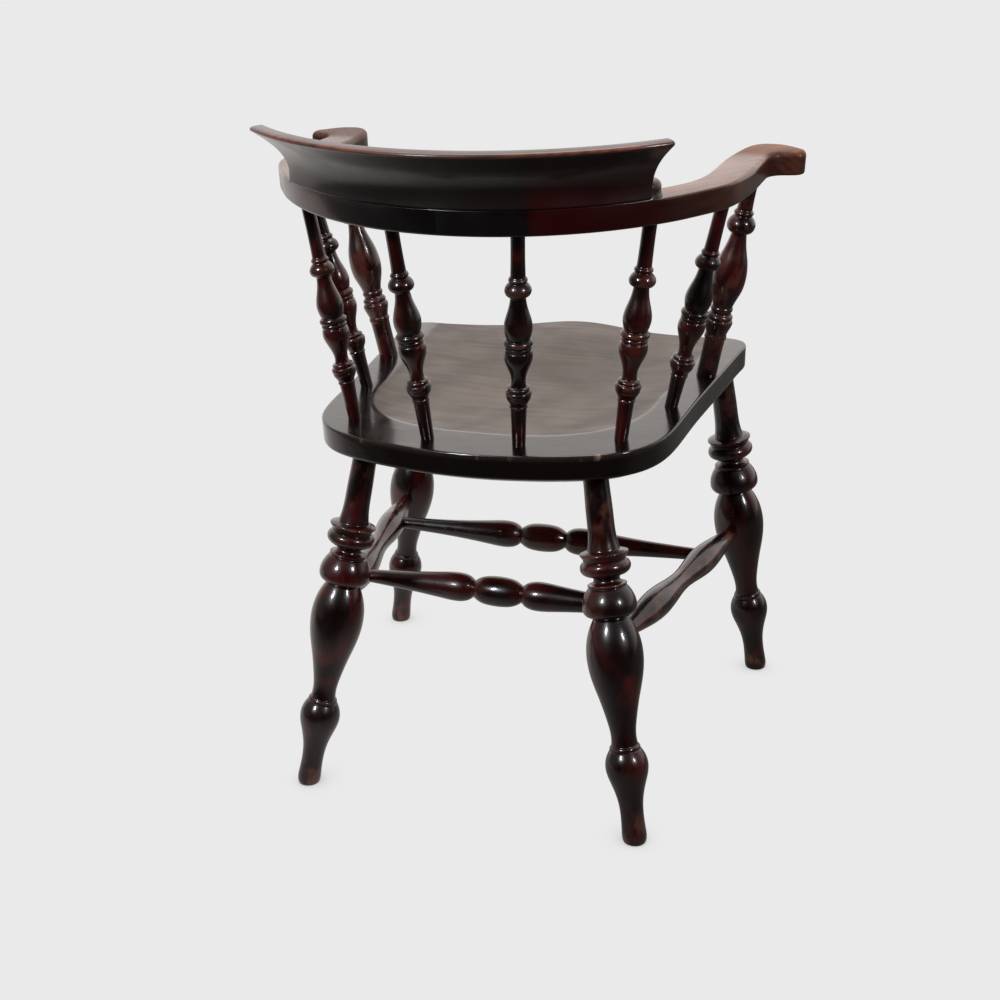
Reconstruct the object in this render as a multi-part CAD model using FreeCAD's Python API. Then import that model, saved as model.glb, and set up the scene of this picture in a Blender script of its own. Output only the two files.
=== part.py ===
"""Smoker's bow armchair in turned and polished wood.

A dished plank seat stands on four turned legs that are tied by a double H of stretchers.
Six turned spindles and two stouter arm posts carry a low horseshoe bow, which is made of two
arms that meet at the middle of the back, with a thick crest on top of the joint.

Millimetres, +Z up. The front of the chair faces -Y and the sitter's left is +X.
The origin is on the floor, under the middle of the whole chair.
One STEP file for each piece is written to parts/.
"""

import FreeCAD
import Part
import math
import os
from FreeCAD import Placement, Rotation, Vector

# Joints
FIT = 0.1  # radial clearance of every round joint
SOCKET_END_GAP = 1.0  # air left at the bottom of each socket
BUTT_GAP = 0.1  # glue line between two flat faces

# Seat
SEAT_HEIGHT = 447.5  # top of the seat's flat rim, at the origin of its plan
SEAT_FALL = 0.036  # drop of the rim for each millimetre towards the back
SEAT_THICKNESS = 38.0
SEAT_EDGE = 27.0  # upright part of the seat's edge, above the bevel underneath
SEAT_BEVEL_RUN = 22.0  # how far the bevel runs in under the seat
SEAT_TOP_ROUND = 2.0
DISH_DEPTH = 14.0
DISH_FRONT_DEPTH = 7.5  # depth that the hollow keeps at the front edge
DISH_HALF_WIDTH = 172.0  # half width of the hollow at DISH_CENTRE_Y
DISH_CENTRE_Y = -20.0
DISH_BACK_LENGTH = 148.0  # from DISH_CENTRE_Y to the back border of the hollow
DISH_WIDENING = 0.12  # growth of the half width for each millimetre towards the front
DISH_POWER = 2.6
POMMEL_HALF_WIDTH = 73.0
POMMEL_BACK_Y = -60.0  # the ridge between the thighs fades out here
POMMEL_LENGTH = 200.0
POMMEL_KEEP = 0.97  # share of the hollow that the ridge fills at the front

# Legs
FOOT_REAR = (209.0, 218.5)  # where the leg's axis meets the floor
FOOT_FRONT = (269.8, -229.9)
LEAN_REAR = (-0.18, -0.21)  # run of the axis for each millimetre of height
LEAN_FRONT = (-0.16, 0.03)
LEG_SOCKET_DEPTH = 26.0
LEG_TOP_RADIUS = 14.0
LEG_BELOW_FLOOR = 5.0  # sawn off level with the floor

# Stretchers
SIDE_ON_REAR_LEG = 235.3  # distance up the leg's axis from the floor
SIDE_ON_FRONT_LEG = 214.4
CROSS_REAR_SHARE = 0.244  # place along the side stretcher, from back to front
CROSS_FRONT_SHARE = 0.708
STRETCHER_STOP = 5.0  # the side stretcher's end stays this far from the leg's axis
STRETCHER_END_RADIUS = 7.2
CROSS_STOP = 4.5  # the cross stretcher's end stays this far from the side stretcher's axis

# Spindles and posts, bored by eye: plan of the foot on the seat, place of the top on the bow, and
# the length by which the foot stands further out of the seat than the pattern. A top on the round
# back has an angle from the middle of the back and a distance in from the outer edge. A top on an
# arm has a distance in from the outer edge of the round back, and its place from front to back.
BACK_SPINDLES = {
    "left_back": ((49.0, 154.0), (14.307, 29.031), 0.5),
    "right_back": ((-56.2, 153.0), (-15.851, 27.157), 0.5),
    "left_corner": ((155.5, 112.5), (45.538, 22.591), -3.5),
    "right_corner": ((-158.0, 112.5), (-45.419, 25.0), -1.5),
}
SIDE_SPINDLES = {
    "left": ((185.5, 9.0), (47.4, 14.9), -3.5),
    "right": ((-188.0, 6.0), (47.4, 14.9), -7.5),
}
POSTS = {
    "left": ((203.5, -102.5), (37.3, -90.0)),
    "right": ((-205.0, -105.5), (37.3, -90.0)),
}
SPINDLE_SOCKET_DEPTH = 22.0
SPINDLE_FOOT_RADIUS = 7.3
SPINDLE_TOP_RADIUS = 7.3
POST_FOOT_RADIUS = 11.8
POST_TOP_RADIUS = 8.6
BOW_SOCKET_DEPTH = 17.0

# Bow: the two arms and the crest, drawn flat and then tilted
BOW_HEIGHT = 687.0  # underside, above the origin of its plan
BOW_FALL = 0.0599  # drop for each millimetre towards the back
BOW_LIST = 0.0284  # rise for each millimetre towards the sitter's left
BOW_THICKNESS = 25.0
BOW_CENTRE_Y = -64.0
BOW_OUTER_RADIUS = 286.0
BOW_WIDTH = 37.0
BOW_OUTER_TURN = 40.0  # angle from +X where the outer arc runs into the arm
BOW_INNER_TURN = 48.0
LEFT_TOE_IN = 0.045  # the left arm stands closer in, by this for each millimetre ahead of the joint
LEFT_REACH = 1.03  # and it is longer than the right arm in this ratio
# Plan of an arm ahead of the round back, each point as its distance in from the outer edge of the
# round back and its place from front to back: outer edge, crease behind the hand pad, outer tip of
# the pad, and then round the front of the pad and back along the inner edge
ARM_OUTSIDE = ((47, 93), (32, 67), (24, 33), (19.5, -5), (18, -35), (17, -56))
ARM_CREASE = ((17, -56), (14, -66), (5, -71.2))
ARM_TIP = ((-7, -73.5), (-16.5, -79.5), (-16, -91))
ARM_INSIDE = (
    (-4, -102), (12, -111.5), (29, -112.5), (41, -106), (49, -91), (55, -66), (60, -36),
    (62.5, -2), (64.5, 34), (73, 66), (90, 91),
)
ARM_TOP_ROUND = 6.0
ARM_UNDER_ROUND = 3.0

# Crest
CREST_HALF_ANGLE = 42.7
CREST_HEIGHT = 61.0
CREST_SET_IN = 1.0  # the back of the crest's foot stands this far in from the bow's outer edge
CREST_FOOT_WIDTH = 34.0
CREST_OVERHANG = 37.5  # how far the lip hangs out behind the foot
CREST_LIP = 14.5  # width of the top
NOSE_HEIGHT = 15.5
NOSE_REACH = 18.5  # how far the low rounded nose runs on past the crest's end
DOWEL_RADIUS = 4.75
DOWEL_SET_BACK = 2.0  # the dowels stand this far behind the middle of the crest's foot
DOWEL_ANGLES = (8.0, 22.0, 36.0)
DOWEL_IN_ARM = 20.0
DOWEL_IN_CREST = 16.0


def smooth(points):
    """Return one edge that passes smoothly through the points."""
    if len(points) == 2:
        return Part.makeLine(points[0], points[1])
    curve = Part.BSplineCurve()
    curve.interpolate(points)
    return curve.toShape()


def turned(curves):
    """Return the turned solid about +Z for a profile.

    curves: lists of (height, radius). Each list is one smooth curve, or a straight line where it
    has two points. A straight face joins the end of each list to the start of the next.
    """
    edges = []
    first = Vector(0, 0, curves[0][0][0])
    last = first
    for curve in curves:
        points = [Vector(radius, 0, height) for height, radius in curve]
        if (points[0] - last).Length > 1e-6:
            edges.append(Part.makeLine(last, points[0]))
        edges.append(smooth(points))
        last = points[-1]
    top = Vector(0, 0, last.z)
    edges.append(Part.makeLine(last, top))
    edges.append(Part.makeLine(top, first))
    face = Part.Face(Part.Wire(edges))
    return face.revolve(Vector(0, 0, 0), Vector(0, 0, 1), 360)


def along(shape, start, direction):
    """Return the shape with its origin at start and its +Z along direction."""
    placed = shape.copy()
    placed.Placement = Placement(start, Rotation(Vector(0, 0, 1), direction))
    return placed


def socket(radius, end, direction, reach):
    """Return the drill of a blind socket.

    end: end face centre of the round piece that the socket holds.
    direction: the way the piece points into the socket.
    reach: length of the drill, back from the end.
    """
    unit = Vector(direction).normalize()
    start = end - unit * reach
    return along(Part.makeCylinder(radius + FIT, reach + SOCKET_END_GAP), start, unit)


def level(height, fall, sideways=0.0):
    """Return the placement of a board whose plan is tilted back and sideways."""
    back = -math.degrees(math.atan(fall))
    side = -math.degrees(math.atan(sideways))
    return Placement(Vector(0, 0, height), Rotation(0, side, back))


def plan_point(place, plan, height=0.0):
    """Return the world point that a plan position takes on a tilted board."""
    return place.multVec(Vector(plan[0], plan[1], height))


def mirrored(shape):
    """Return the shape mirrored from the +X side to the -X side."""
    return shape.mirror(Vector(0, 0, 0), Vector(1, 0, 0))


SIDES = {"left": 1, "right": -1}
SEAT_PLACE = level(SEAT_HEIGHT, SEAT_FALL)
BOW_PLACE = level(BOW_HEIGHT, BOW_FALL, BOW_LIST)
BOW_INNER_RADIUS = BOW_OUTER_RADIUS - BOW_WIDTH
CREST_FOOT_OUTER = BOW_OUTER_RADIUS - CREST_SET_IN
CREST_FOOT_INNER = CREST_FOOT_OUTER - CREST_FOOT_WIDTH


# Seat
def seat_outline(height, inset=0.0):
    """Return the closed curve of the seat's plan at a height, moved inwards by the inset."""
    half = [
        (70, 183), (137, 166), (168, 150.5), (188, 130), (200, 106), (206.5, 75), (211, 10),
        (217, -65), (225, -150), (229.5, -198), (231, -220), (226, -236), (212, -245.5),
        (190, -250), (150, -259), (100, -270), (50, -281),
    ]
    right = [(-x, y) for x, y in reversed(half)]
    points = [Vector(x, y, 0) for x, y in [(0, 189)] + half + [(0, -286)] + right]
    moved = []
    for index, point in enumerate(points):
        run = points[(index + 1) % len(points)] - points[index - 1]
        inward = Vector(run.y, -run.x, 0).normalize()
        moved.append(point + inward * inset + Vector(0, 0, height))
    curve = Part.BSplineCurve()
    curve.interpolate(moved, PeriodicFlag=True)
    return Part.Wire(curve.toShape())


def dish_level(x, y):
    """Return the height of the hollow's surface at a plan point, from the rim."""
    front = max(0.0, DISH_CENTRE_Y - y)
    back = max(0.0, y - DISH_CENTRE_Y)
    across = abs(x) / (DISH_HALF_WIDTH + DISH_WIDENING * front)
    inside = 1.0 - across ** DISH_POWER - (back / DISH_BACK_LENGTH) ** DISH_POWER
    share = min(1.0, max(0.0, (POMMEL_BACK_Y - y) / POMMEL_LENGTH))
    fade = share * share * (3.0 - 2.0 * share)
    ridge = POMMEL_KEEP * fade * math.exp(-((x / POMMEL_HALF_WIDTH) ** 2))
    depth = DISH_DEPTH + (DISH_FRONT_DEPTH - DISH_DEPTH) * fade
    return -depth * max(inside, -2.0) * (1.0 - ridge)


def seat_plank():
    """Return the seat before its sockets are drilled, drawn flat with the rim at Z 0."""
    underside = seat_outline(-SEAT_THICKNESS, SEAT_BEVEL_RUN)
    plank = Part.makeLoft([seat_outline(0.0), seat_outline(-SEAT_EDGE), underside], True, True)
    boxes = [(edge, edge.BoundBox) for edge in plank.Edges]
    rim = [edge for edge, box in boxes if abs(box.ZMin) < 0.01 and box.ZLength < 0.01]
    plank = plank.makeFillet(SEAT_TOP_ROUND, rim)
    rows = []
    for y in range(-310, 171, 24):
        rows.append([Vector(x, y, dish_level(x, y)) for x in range(-240, 241, 20)])
    surface = Part.BSplineSurface()
    surface.interpolate(rows)
    hollow = surface.toShape().extrude(Vector(0, 0, 60))
    return plank.cut(hollow)


# Legs
def leg_turning(length):
    """Return the turned leg, with its foot at the origin and standing on +Z."""
    return turned([
        [(-LEG_BELOW_FLOOR, 10.0), (-1.0, 12.6), (3.0, 13.8), (9.0, 14.2)],
        [(9.0, 14.2), (28.0, 13.3), (50.0, 14.6), (70.0, 19.6), (91.0, 24.4), (103.0, 22.2), (110.5, 18.4)],
        [(111.0, 17.0), (113.5, 17.6), (116.0, 16.4)],
        [(116.0, 15.2), (123.0, 14.4), (146.0, 16.8), (170.0, 22.2), (194.0, 28.4), (218.0, 31.6),
         (241.0, 29.4), (256.0, 24.2), (264.0, 20.0)],
        [(265.0, 19.0), (269.0, 26.8)],
        [(269.0, 26.8), (272.5, 29.4), (277.5, 30.3), (286.0, 29.0), (294.0, 25.4), (299.0, 22.2)],
        [(299.0, 21.0), (301.0, 20.6)],
        [(301.2, 21.8), (303.4, 21.9)],
        [(303.6, 18.4), (306.5, 15.0), (309.5, 14.6), (312.5, 16.4)],
        [(313.6, 22.0), (316.5, 26.0), (322.0, 28.1), (327.0, 26.4), (329.2, 24.2)],
        [(329.6, 23.0), (333.0, 24.4), (337.0, 27.2)],
        [(338.4, 27.0), (340.4, 20.4)],
        [(340.4, 18.0), (350.0, 16.2), (380.0, 14.8), (409.0, LEG_TOP_RADIUS), (length, LEG_TOP_RADIUS)],
    ])


class Leg:
    """One leg: its axis, its solid and the drills of the sockets that it needs."""

    def __init__(self, side, foot, lean):
        """side: +1 for the sitter's left, -1 for the right."""
        self.foot = Vector(side * foot[0], foot[1], 0)
        self.unit = Vector(side * lean[0], lean[1], 1).normalize()
        normal = SEAT_PLACE.Rotation.multVec(Vector(0, 0, 1))
        under = plan_point(SEAT_PLACE, (0, 0), LEG_SOCKET_DEPTH - SEAT_THICKNESS)
        self.length = (under - self.foot).dot(normal) / self.unit.dot(normal)
        self.end = self.foot + self.unit * self.length

    def at(self, distance):
        """Return the point on the axis at a distance up from the floor."""
        return self.foot + self.unit * distance

    def solid(self):
        """Return the leg, sawn level at the floor."""
        whole = along(leg_turning(self.length), self.foot, self.unit)
        below = Part.makeBox(120, 120, 60, Vector(self.foot.x - 60, self.foot.y - 60, -60))
        return whole.cut(below)

    def seat_drill(self):
        """Return the drill of the socket in the seat."""
        return socket(LEG_TOP_RADIUS, self.end, self.unit, 2.0 * LEG_SOCKET_DEPTH)


# Stretchers
def side_turning(length):
    """Return a side stretcher of two swells and a waist, from the rear leg's axis at the origin."""
    start = STRETCHER_STOP
    end = length - STRETCHER_STOP
    middle = 0.49 * length
    profile = [
        (start, STRETCHER_END_RADIUS), (32.0, 8.2), (60.0, 11.6), (90.0, 16.0), (120.0, 17.8), (150.0, 15.8),
        (middle, 12.3),
        (length - 162.0, 15.8), (length - 136.0, 17.6), (length - 104.0, 15.9), (length - 66.0, 11.6),
        (length - 34.0, 8.2), (end, STRETCHER_END_RADIUS),
    ]
    return turned([profile])


def cross_turning(length):
    """Return a cross stretcher: a barrel between two long cones, centred on the origin."""
    half = 0.5 * length - CROSS_STOP
    cone = [
        (31.5, 10.6), (35.0, 13.6), (42.0, 16.6), (52.0, 17.7), (72.0, 16.2), (110.0, 12.4),
        (half, STRETCHER_END_RADIUS),
    ]
    barrel = [(-30.0, 10.4), (-22.0, 15.2), (-9.0, 18.0), (9.0, 18.0), (22.0, 15.2), (30.0, 10.4)]
    left = [(-height, radius) for height, radius in reversed(cone)]
    return turned([left, barrel, cone])


class Stretcher:
    """A turned rail between two points."""

    def __init__(self, start, end):
        self.start = start
        self.end = end
        self.length = (end - start).Length
        self.unit = (end - start).normalize()

    def at(self, share):
        """Return the point at a share of the length from the start."""
        return self.start + self.unit * (self.length * share)

    def side_solid(self):
        """Return the side stretcher."""
        return along(side_turning(self.length), self.start, self.unit)

    def cross_solid(self):
        """Return the cross stretcher."""
        return along(cross_turning(self.length), self.at(0.5), self.unit)

    def drills(self, stop, reach):
        """Return the drills of the sockets at the start and at the end."""
        first = socket(STRETCHER_END_RADIUS, self.start + self.unit * stop, -self.unit, reach)
        second = socket(STRETCHER_END_RADIUS, self.end - self.unit * stop, self.unit, reach)
        return first, second


# Spindles and posts
def spindle_turning(length, foot_extra):
    """Return a back spindle that enters the seat below the origin and the bow at its end."""
    def up(curve):
        return [(height + foot_extra, radius) for height, radius in curve]

    foot = -SPINDLE_SOCKET_DEPTH
    end = length + BOW_SOCKET_DEPTH
    return turned([
        [(foot, SPINDLE_FOOT_RADIUS), (0.0, SPINDLE_FOOT_RADIUS)],
        [(0.0, SPINDLE_FOOT_RADIUS), (22.0, 7.9), (44.5 + foot_extra, 8.7)],
        up([(44.5, 9.3), (46.0, 9.9), (47.5, 9.3)]),
        up([(47.5, 8.9), (51.0, 10.4), (55.5, 12.8), (58.5, 13.3)]),
        up([(58.8, 13.3), (61.3, 14.0), (63.8, 13.1)]),
        up([(64.6, 11.3), (66.6, 12.2), (68.5, 11.0)]),
        up([(69.0, 8.6), (73.0, 7.7), (82.0, 8.7), (93.0, 12.8), (102.0, 15.1), (108.6, 14.2)]),
        up([(109.4, 12.9), (111.8, 14.3), (114.0, 13.2)]),
        up([(114.2, 13.8), (117.4, 15.4), (120.6, 13.9)]),
        up([(120.8, 12.3), (123.2, 12.5)]),
        up([(123.2, 12.9), (132.5, 14.8), (146.0, 12.4), (157.0, 9.2), (165.5, 8.0)]),
        up([(166.4, 8.6), (168.4, 12.0), (172.5, 13.8), (177.5, 12.2), (180.4, 9.6)]),
        up([(181.2, 8.5), (183.8, 9.9), (186.2, 8.5)]),
        [(187.0 + foot_extra, 7.7), (198.0 + foot_extra, 7.4), (length, SPINDLE_TOP_RADIUS)],
        [(length, SPINDLE_TOP_RADIUS), (end, SPINDLE_TOP_RADIUS)],
    ])


def post_turning(length):
    """Return an arm post that enters the seat below the origin and the arm at its end."""
    foot = -SPINDLE_SOCKET_DEPTH
    end = length + BOW_SOCKET_DEPTH
    return turned([
        [(foot, POST_FOOT_RADIUS), (0.0, POST_FOOT_RADIUS)],
        [(0.0, POST_FOOT_RADIUS), (24.0, 11.5), (46.0, 11.8)],
        [(46.0, 12.2), (49.0, 12.9), (52.0, 12.2)],
        [(52.0, 11.8), (58.0, 13.6), (62.6, 15.2)],
        [(63.0, 15.0), (66.4, 15.9), (69.8, 14.9)],
        [(70.4, 13.4), (73.4, 14.6), (76.4, 13.0)],
        [(77.4, 11.6), (79.6, 11.4)],
        [(80.0, 12.1), (82.6, 12.8), (85.2, 11.9)],
        [(85.4, 11.4), (93.0, 13.6), (105.0, 17.6), (120.0, 19.2), (138.0, 16.8), (155.0, 11.6), (169.0, 8.6)],
        [(170.4, 9.2), (172.6, 13.2), (180.0, 15.8), (186.0, 13.4), (189.2, 10.4)],
        [(190.0, 9.6), (192.8, 11.1), (195.6, 9.4)],
        [(196.4, 8.6), (206.0, 8.2), (length, POST_TOP_RADIUS)],
        [(length, POST_TOP_RADIUS), (end, POST_TOP_RADIUS)],
    ])


class Upright:
    """A spindle or a post between the seat and the bow."""

    def __init__(self, foot, top, foot_radius, top_radius):
        """foot, top: plan points on the seat's rim and on the underside of the bow."""
        self.foot = plan_point(SEAT_PLACE, foot)
        self.top = plan_point(BOW_PLACE, top)
        self.length = (self.top - self.foot).Length
        self.unit = (self.top - self.foot).normalize()
        self.foot_radius = foot_radius
        self.top_radius = top_radius

    def placed(self, turning):
        """Return a turning set up between the two ends."""
        return along(turning, self.foot, self.unit)

    def seat_drill(self):
        """Return the drill of the socket in the seat."""
        end = self.foot - self.unit * SPINDLE_SOCKET_DEPTH
        return socket(self.foot_radius, end, -self.unit, 2.0 * SPINDLE_SOCKET_DEPTH)

    def bow_drill(self):
        """Return the drill of the socket in the bow."""
        end = self.top + self.unit * BOW_SOCKET_DEPTH
        return socket(self.top_radius, end, self.unit, 2.0 * BOW_SOCKET_DEPTH)


# Bow
def bow_point(radius, angle, height=0.0):
    """Return the point on the bow's plan at a radius and at an angle from +X."""
    turn = math.radians(angle)
    return Vector(radius * math.cos(turn), BOW_CENTRE_Y + radius * math.sin(turn), height)


def on_back(angle, inset):
    """Return the plan of a place on the round back, by its angle from the middle of the back."""
    place = bow_point(BOW_OUTER_RADIUS - inset, 90 - angle)
    return place.x, place.y


def on_arm(side, inset, y):
    """Return the plan of a place on the arm of a side, +1 for the sitter's left."""
    return side * (BOW_OUTER_RADIUS - inset), y


def arm_points(places):
    """Return the plan points of the +X arm for their distances in from the outer edge."""
    return [Vector(*on_arm(1, inset, y), 0) for inset, y in places]


def arc(first, middle, last):
    """Return the arc through three points."""
    return Part.Arc(first, middle, last).toShape()


def arm_blank():
    """Return the arm of the +X side, drawn flat with its underside at Z 0."""
    joint = 0.5 * BUTT_GAP
    outer_back = Vector(joint, BOW_CENTRE_Y + math.sqrt(BOW_OUTER_RADIUS ** 2 - joint ** 2), 0)
    inner_back = Vector(joint, BOW_CENTRE_Y + math.sqrt(BOW_INNER_RADIUS ** 2 - joint ** 2), 0)
    outer_turn = bow_point(BOW_OUTER_RADIUS, BOW_OUTER_TURN)
    inner_turn = bow_point(BOW_INNER_RADIUS, BOW_INNER_TURN)
    outside = [outer_turn] + arm_points(ARM_OUTSIDE)
    crease = arm_points(ARM_CREASE)
    tip = arm_points(ARM_TIP)
    inside = [tip[2]] + arm_points(ARM_INSIDE) + [inner_turn]
    edges = [
        arc(outer_back, bow_point(BOW_OUTER_RADIUS, 0.5 * (90 + BOW_OUTER_TURN)), outer_turn),
        smooth(outside),
        arc(*crease),
        Part.makeLine(crease[2], tip[0]),
        arc(*tip),
        smooth(inside),
        arc(inner_turn, bow_point(BOW_INNER_RADIUS, 0.5 * (90 + BOW_INNER_TURN)), inner_back),
        Part.makeLine(inner_back, outer_back),
    ]
    blank = Part.Face(Part.Wire(edges)).extrude(Vector(0, 0, BOW_THICKNESS))
    top = []
    under = []
    for edge in blank.Edges:
        box = edge.BoundBox
        at_joint = box.XMax < joint + 0.01
        if at_joint or box.ZLength > 0.01:
            continue
        if box.ZMin > 0.5 * BOW_THICKNESS:
            top.append(edge)
        else:
            under.append(edge)
    return blank.makeFillet(ARM_TOP_ROUND, top).makeFillet(ARM_UNDER_ROUND, under)


def toed_in(arm):
    """Return the +X arm with its hand pad drawn in, and its joint face trimmed square again."""
    joint_y = BOW_CENTRE_Y + BOW_OUTER_RADIUS
    drawing = FreeCAD.Matrix()
    drawing.A12 = LEFT_TOE_IN
    drawing.A14 = -LEFT_TOE_IN * joint_y
    drawing.A22 = LEFT_REACH
    drawing.A24 = (1.0 - LEFT_REACH) * joint_y
    corner = Vector(0.5 * BUTT_GAP - BOW_THICKNESS, BOW_CENTRE_Y, -0.5 * BOW_THICKNESS)
    beyond = Part.makeBox(BOW_THICKNESS, 2.0 * BOW_OUTER_RADIUS, 2.0 * BOW_THICKNESS, corner)
    return arm.transformGeometry(drawing).cut(beyond)


def swept(profile, start, end):
    """Return the ring sector of a profile of (radius, height) curves about the bow's centre."""
    edges = []
    points = [[Vector(radius, BOW_CENTRE_Y, height) for radius, height in curve] for curve in profile]
    for index, curve in enumerate(points):
        edges.append(smooth(curve))
        following = points[(index + 1) % len(points)][0]
        if (following - curve[-1]).Length > 1e-6:
            edges.append(Part.makeLine(curve[-1], following))
    face = Part.Face(Part.Wire(edges))
    centre = Vector(0, BOW_CENTRE_Y, 0)
    face.rotate(centre, Vector(0, 0, 1), start)
    return face.revolve(centre, Vector(0, 0, 1), end - start)


def crest_blank():
    """Return the crest, drawn flat in the bow's frame."""
    foot = BOW_THICKNESS + BUTT_GAP
    top = BOW_THICKNESS + CREST_HEIGHT
    lip = CREST_FOOT_OUTER + CREST_OVERHANG
    lip_inner = lip - CREST_LIP
    slope = lip_inner - CREST_FOOT_INNER
    back = [
        (CREST_FOOT_OUTER, foot), (CREST_FOOT_OUTER - 3.5, foot + 15), (CREST_FOOT_OUTER + 1, foot + 24),
        (CREST_FOOT_OUTER + 0.667 * CREST_OVERHANG, top - 16), (lip - 1.5, top - 6.5),
    ]
    cap = [
        (lip - 1.5, top - 6.5), (lip, top - 4.5), (lip - 2.0, top - 2.0), (lip - 7.0, top - 0.5),
        (lip_inner, top - 1),
    ]
    front = [
        (lip_inner, top - 1), (CREST_FOOT_INNER + 0.632 * slope, foot + 36),
        (CREST_FOOT_INNER + 0.298 * slope, foot + 17), (CREST_FOOT_INNER + 0.07 * slope, foot + 7),
        (CREST_FOOT_INNER, foot),
    ]
    body = swept([back, cap, front], 90 - CREST_HALF_ANGLE, 90 + CREST_HALF_ANGLE)
    nose_top = foot + NOSE_HEIGHT
    flat_end = NOSE_REACH - 9.0
    shoulder = [
        (NOSE_REACH, foot), (NOSE_REACH - 1.5, foot + 5), (NOSE_REACH - 1.5, nose_top - 6),
        (NOSE_REACH - 5.0, nose_top - 1), (flat_end, nose_top),
    ]
    nose_curves = [[(0.0, foot), (NOSE_REACH, foot)], shoulder, [(flat_end, nose_top), (0.0, nose_top)]]
    edges = [smooth([Vector(radius, 0, height) for radius, height in curve]) for curve in nose_curves]
    edges.append(Part.makeLine(Vector(0, 0, nose_top), Vector(0, 0, foot)))
    dome = Part.Face(Part.Wire(edges)).revolve(Vector(0, 0, 0), Vector(0, 0, 1), 360)
    for angle in (90 - CREST_HALF_ANGLE, 90 + CREST_HALF_ANGLE):
        nose = dome.copy()
        nose.translate(bow_point(CREST_FOOT_OUTER - NOSE_REACH, angle))
        body = body.fuse(nose)
    return body.removeSplitter()


def dowels():
    """Return the dowels that pin the crest to the arms, drawn flat."""
    foot = BOW_THICKNESS - DOWEL_IN_ARM
    arc_radius = 0.5 * (CREST_FOOT_INNER + CREST_FOOT_OUTER) + DOWEL_SET_BACK
    pins = []
    for angle in DOWEL_ANGLES:
        for side in (-1, 1):
            place = bow_point(arc_radius, 90 + side * angle, foot)
            pins.append((place, Part.makeCylinder(DOWEL_RADIUS, DOWEL_IN_ARM + DOWEL_IN_CREST, place)))
    return pins


def dowel_drill(place):
    """Return the drill that clears one dowel in both the arm and the crest."""
    start = place - Vector(0, 0, SOCKET_END_GAP)
    return Part.makeCylinder(DOWEL_RADIUS + FIT, DOWEL_IN_ARM + DOWEL_IN_CREST + 2 * SOCKET_END_GAP, start)


def build():
    """Return the chair's pieces by name."""
    pieces = {}
    seat_drills = []
    legs = {}
    for end_name, foot, lean in (("rear", FOOT_REAR, LEAN_REAR), ("front", FOOT_FRONT, LEAN_FRONT)):
        for side_name, side in SIDES.items():
            legs[end_name, side_name] = Leg(side, foot, lean)

    sides = {}
    for side_name in SIDES:
        start = legs["rear", side_name].at(SIDE_ON_REAR_LEG)
        end = legs["front", side_name].at(SIDE_ON_FRONT_LEG)
        sides[side_name] = Stretcher(start, end)
    crosses = {}
    for end_name, share in (("rear", CROSS_REAR_SHARE), ("front", CROSS_FRONT_SHARE)):
        crosses[end_name] = Stretcher(sides["right"].at(share), sides["left"].at(share))

    for (end_name, side_name), leg in legs.items():
        first, second = sides[side_name].drills(STRETCHER_STOP, 60.0)
        drill = first if end_name == "rear" else second
        pieces[f"{end_name}_{side_name}_leg"] = leg.solid().cut(drill)
        seat_drills.append(leg.seat_drill())

    for side_name, rail in sides.items():
        solid = rail.side_solid()
        for cross in crosses.values():
            right, left = cross.drills(CROSS_STOP, 40.0)
            solid = solid.cut(left if side_name == "left" else right)
        pieces[f"{side_name}_side_stretcher"] = solid
    for end_name, rail in crosses.items():
        pieces[f"{end_name}_cross_stretcher"] = rail.cross_solid()

    bow_drills = {"left": [], "right": []}
    uprights = {}
    spindles = {name: (foot, on_back(*top), extra) for name, (foot, top, extra) in BACK_SPINDLES.items()}
    for name, (foot, top, extra) in SIDE_SPINDLES.items():
        spindles[f"{name}_side"] = (foot, on_arm(SIDES[name], *top), extra)
    for name, (foot, top, foot_extra) in spindles.items():
        upright = Upright(foot, top, SPINDLE_FOOT_RADIUS, SPINDLE_TOP_RADIUS)
        pieces[f"{name}_spindle"] = upright.placed(spindle_turning(upright.length, foot_extra))
        uprights[name] = upright
    for name, (foot, top) in POSTS.items():
        upright = Upright(foot, on_arm(SIDES[name], *top), POST_FOOT_RADIUS, POST_TOP_RADIUS)
        pieces[f"{name}_arm_post"] = upright.placed(post_turning(upright.length))
        uprights[name] = upright
    for name, upright in uprights.items():
        seat_drills.append(upright.seat_drill())
        bow_drills[name.split("_")[0]].append(upright.bow_drill())

    seat = seat_plank()
    seat.Placement = SEAT_PLACE
    pieces["seat"] = seat.cut(seat_drills)

    crest = crest_blank()
    arms = {"left": toed_in(arm_blank()), "right": mirrored(arm_blank())}
    pins = dowels()
    for place, _ in pins:
        drill = dowel_drill(place)
        crest = crest.cut(drill)
        side_name = "left" if place.x > 0 else "right"
        arms[side_name] = arms[side_name].cut(drill)
    crest.Placement = BOW_PLACE
    pieces["crest"] = crest
    for side_name, arm in arms.items():
        arm.Placement = BOW_PLACE
        pieces[f"{side_name}_arm"] = arm.cut(bow_drills[side_name])
    group = Part.makeCompound([pin for _, pin in pins])
    group.Placement = BOW_PLACE
    pieces["crest_dowels"] = group
    return pieces


def export(pieces):
    """Centre the chair over the origin and write each piece to parts/."""
    os.makedirs("parts", exist_ok=True)
    box = Part.makeCompound(list(pieces.values())).optimalBoundingBox()
    move = Vector(-box.Center.x, -box.Center.y, 0)
    print("moved by", move)
    for name, shape in pieces.items():
        placed = shape.copy()
        placed.translate(move)
        placed.exportStep(f"parts/{name}.step")
        verdict = "valid" if placed.isValid() else "NOT VALID"
        print(name, verdict, len(placed.Solids), round(placed.Volume / 1000, 1))
    print("size", round(box.XLength, 1), round(box.YLength, 1), round(box.ZLength, 1))
    print("lowest point", round(box.ZMin, 2))


export(build())
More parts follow.
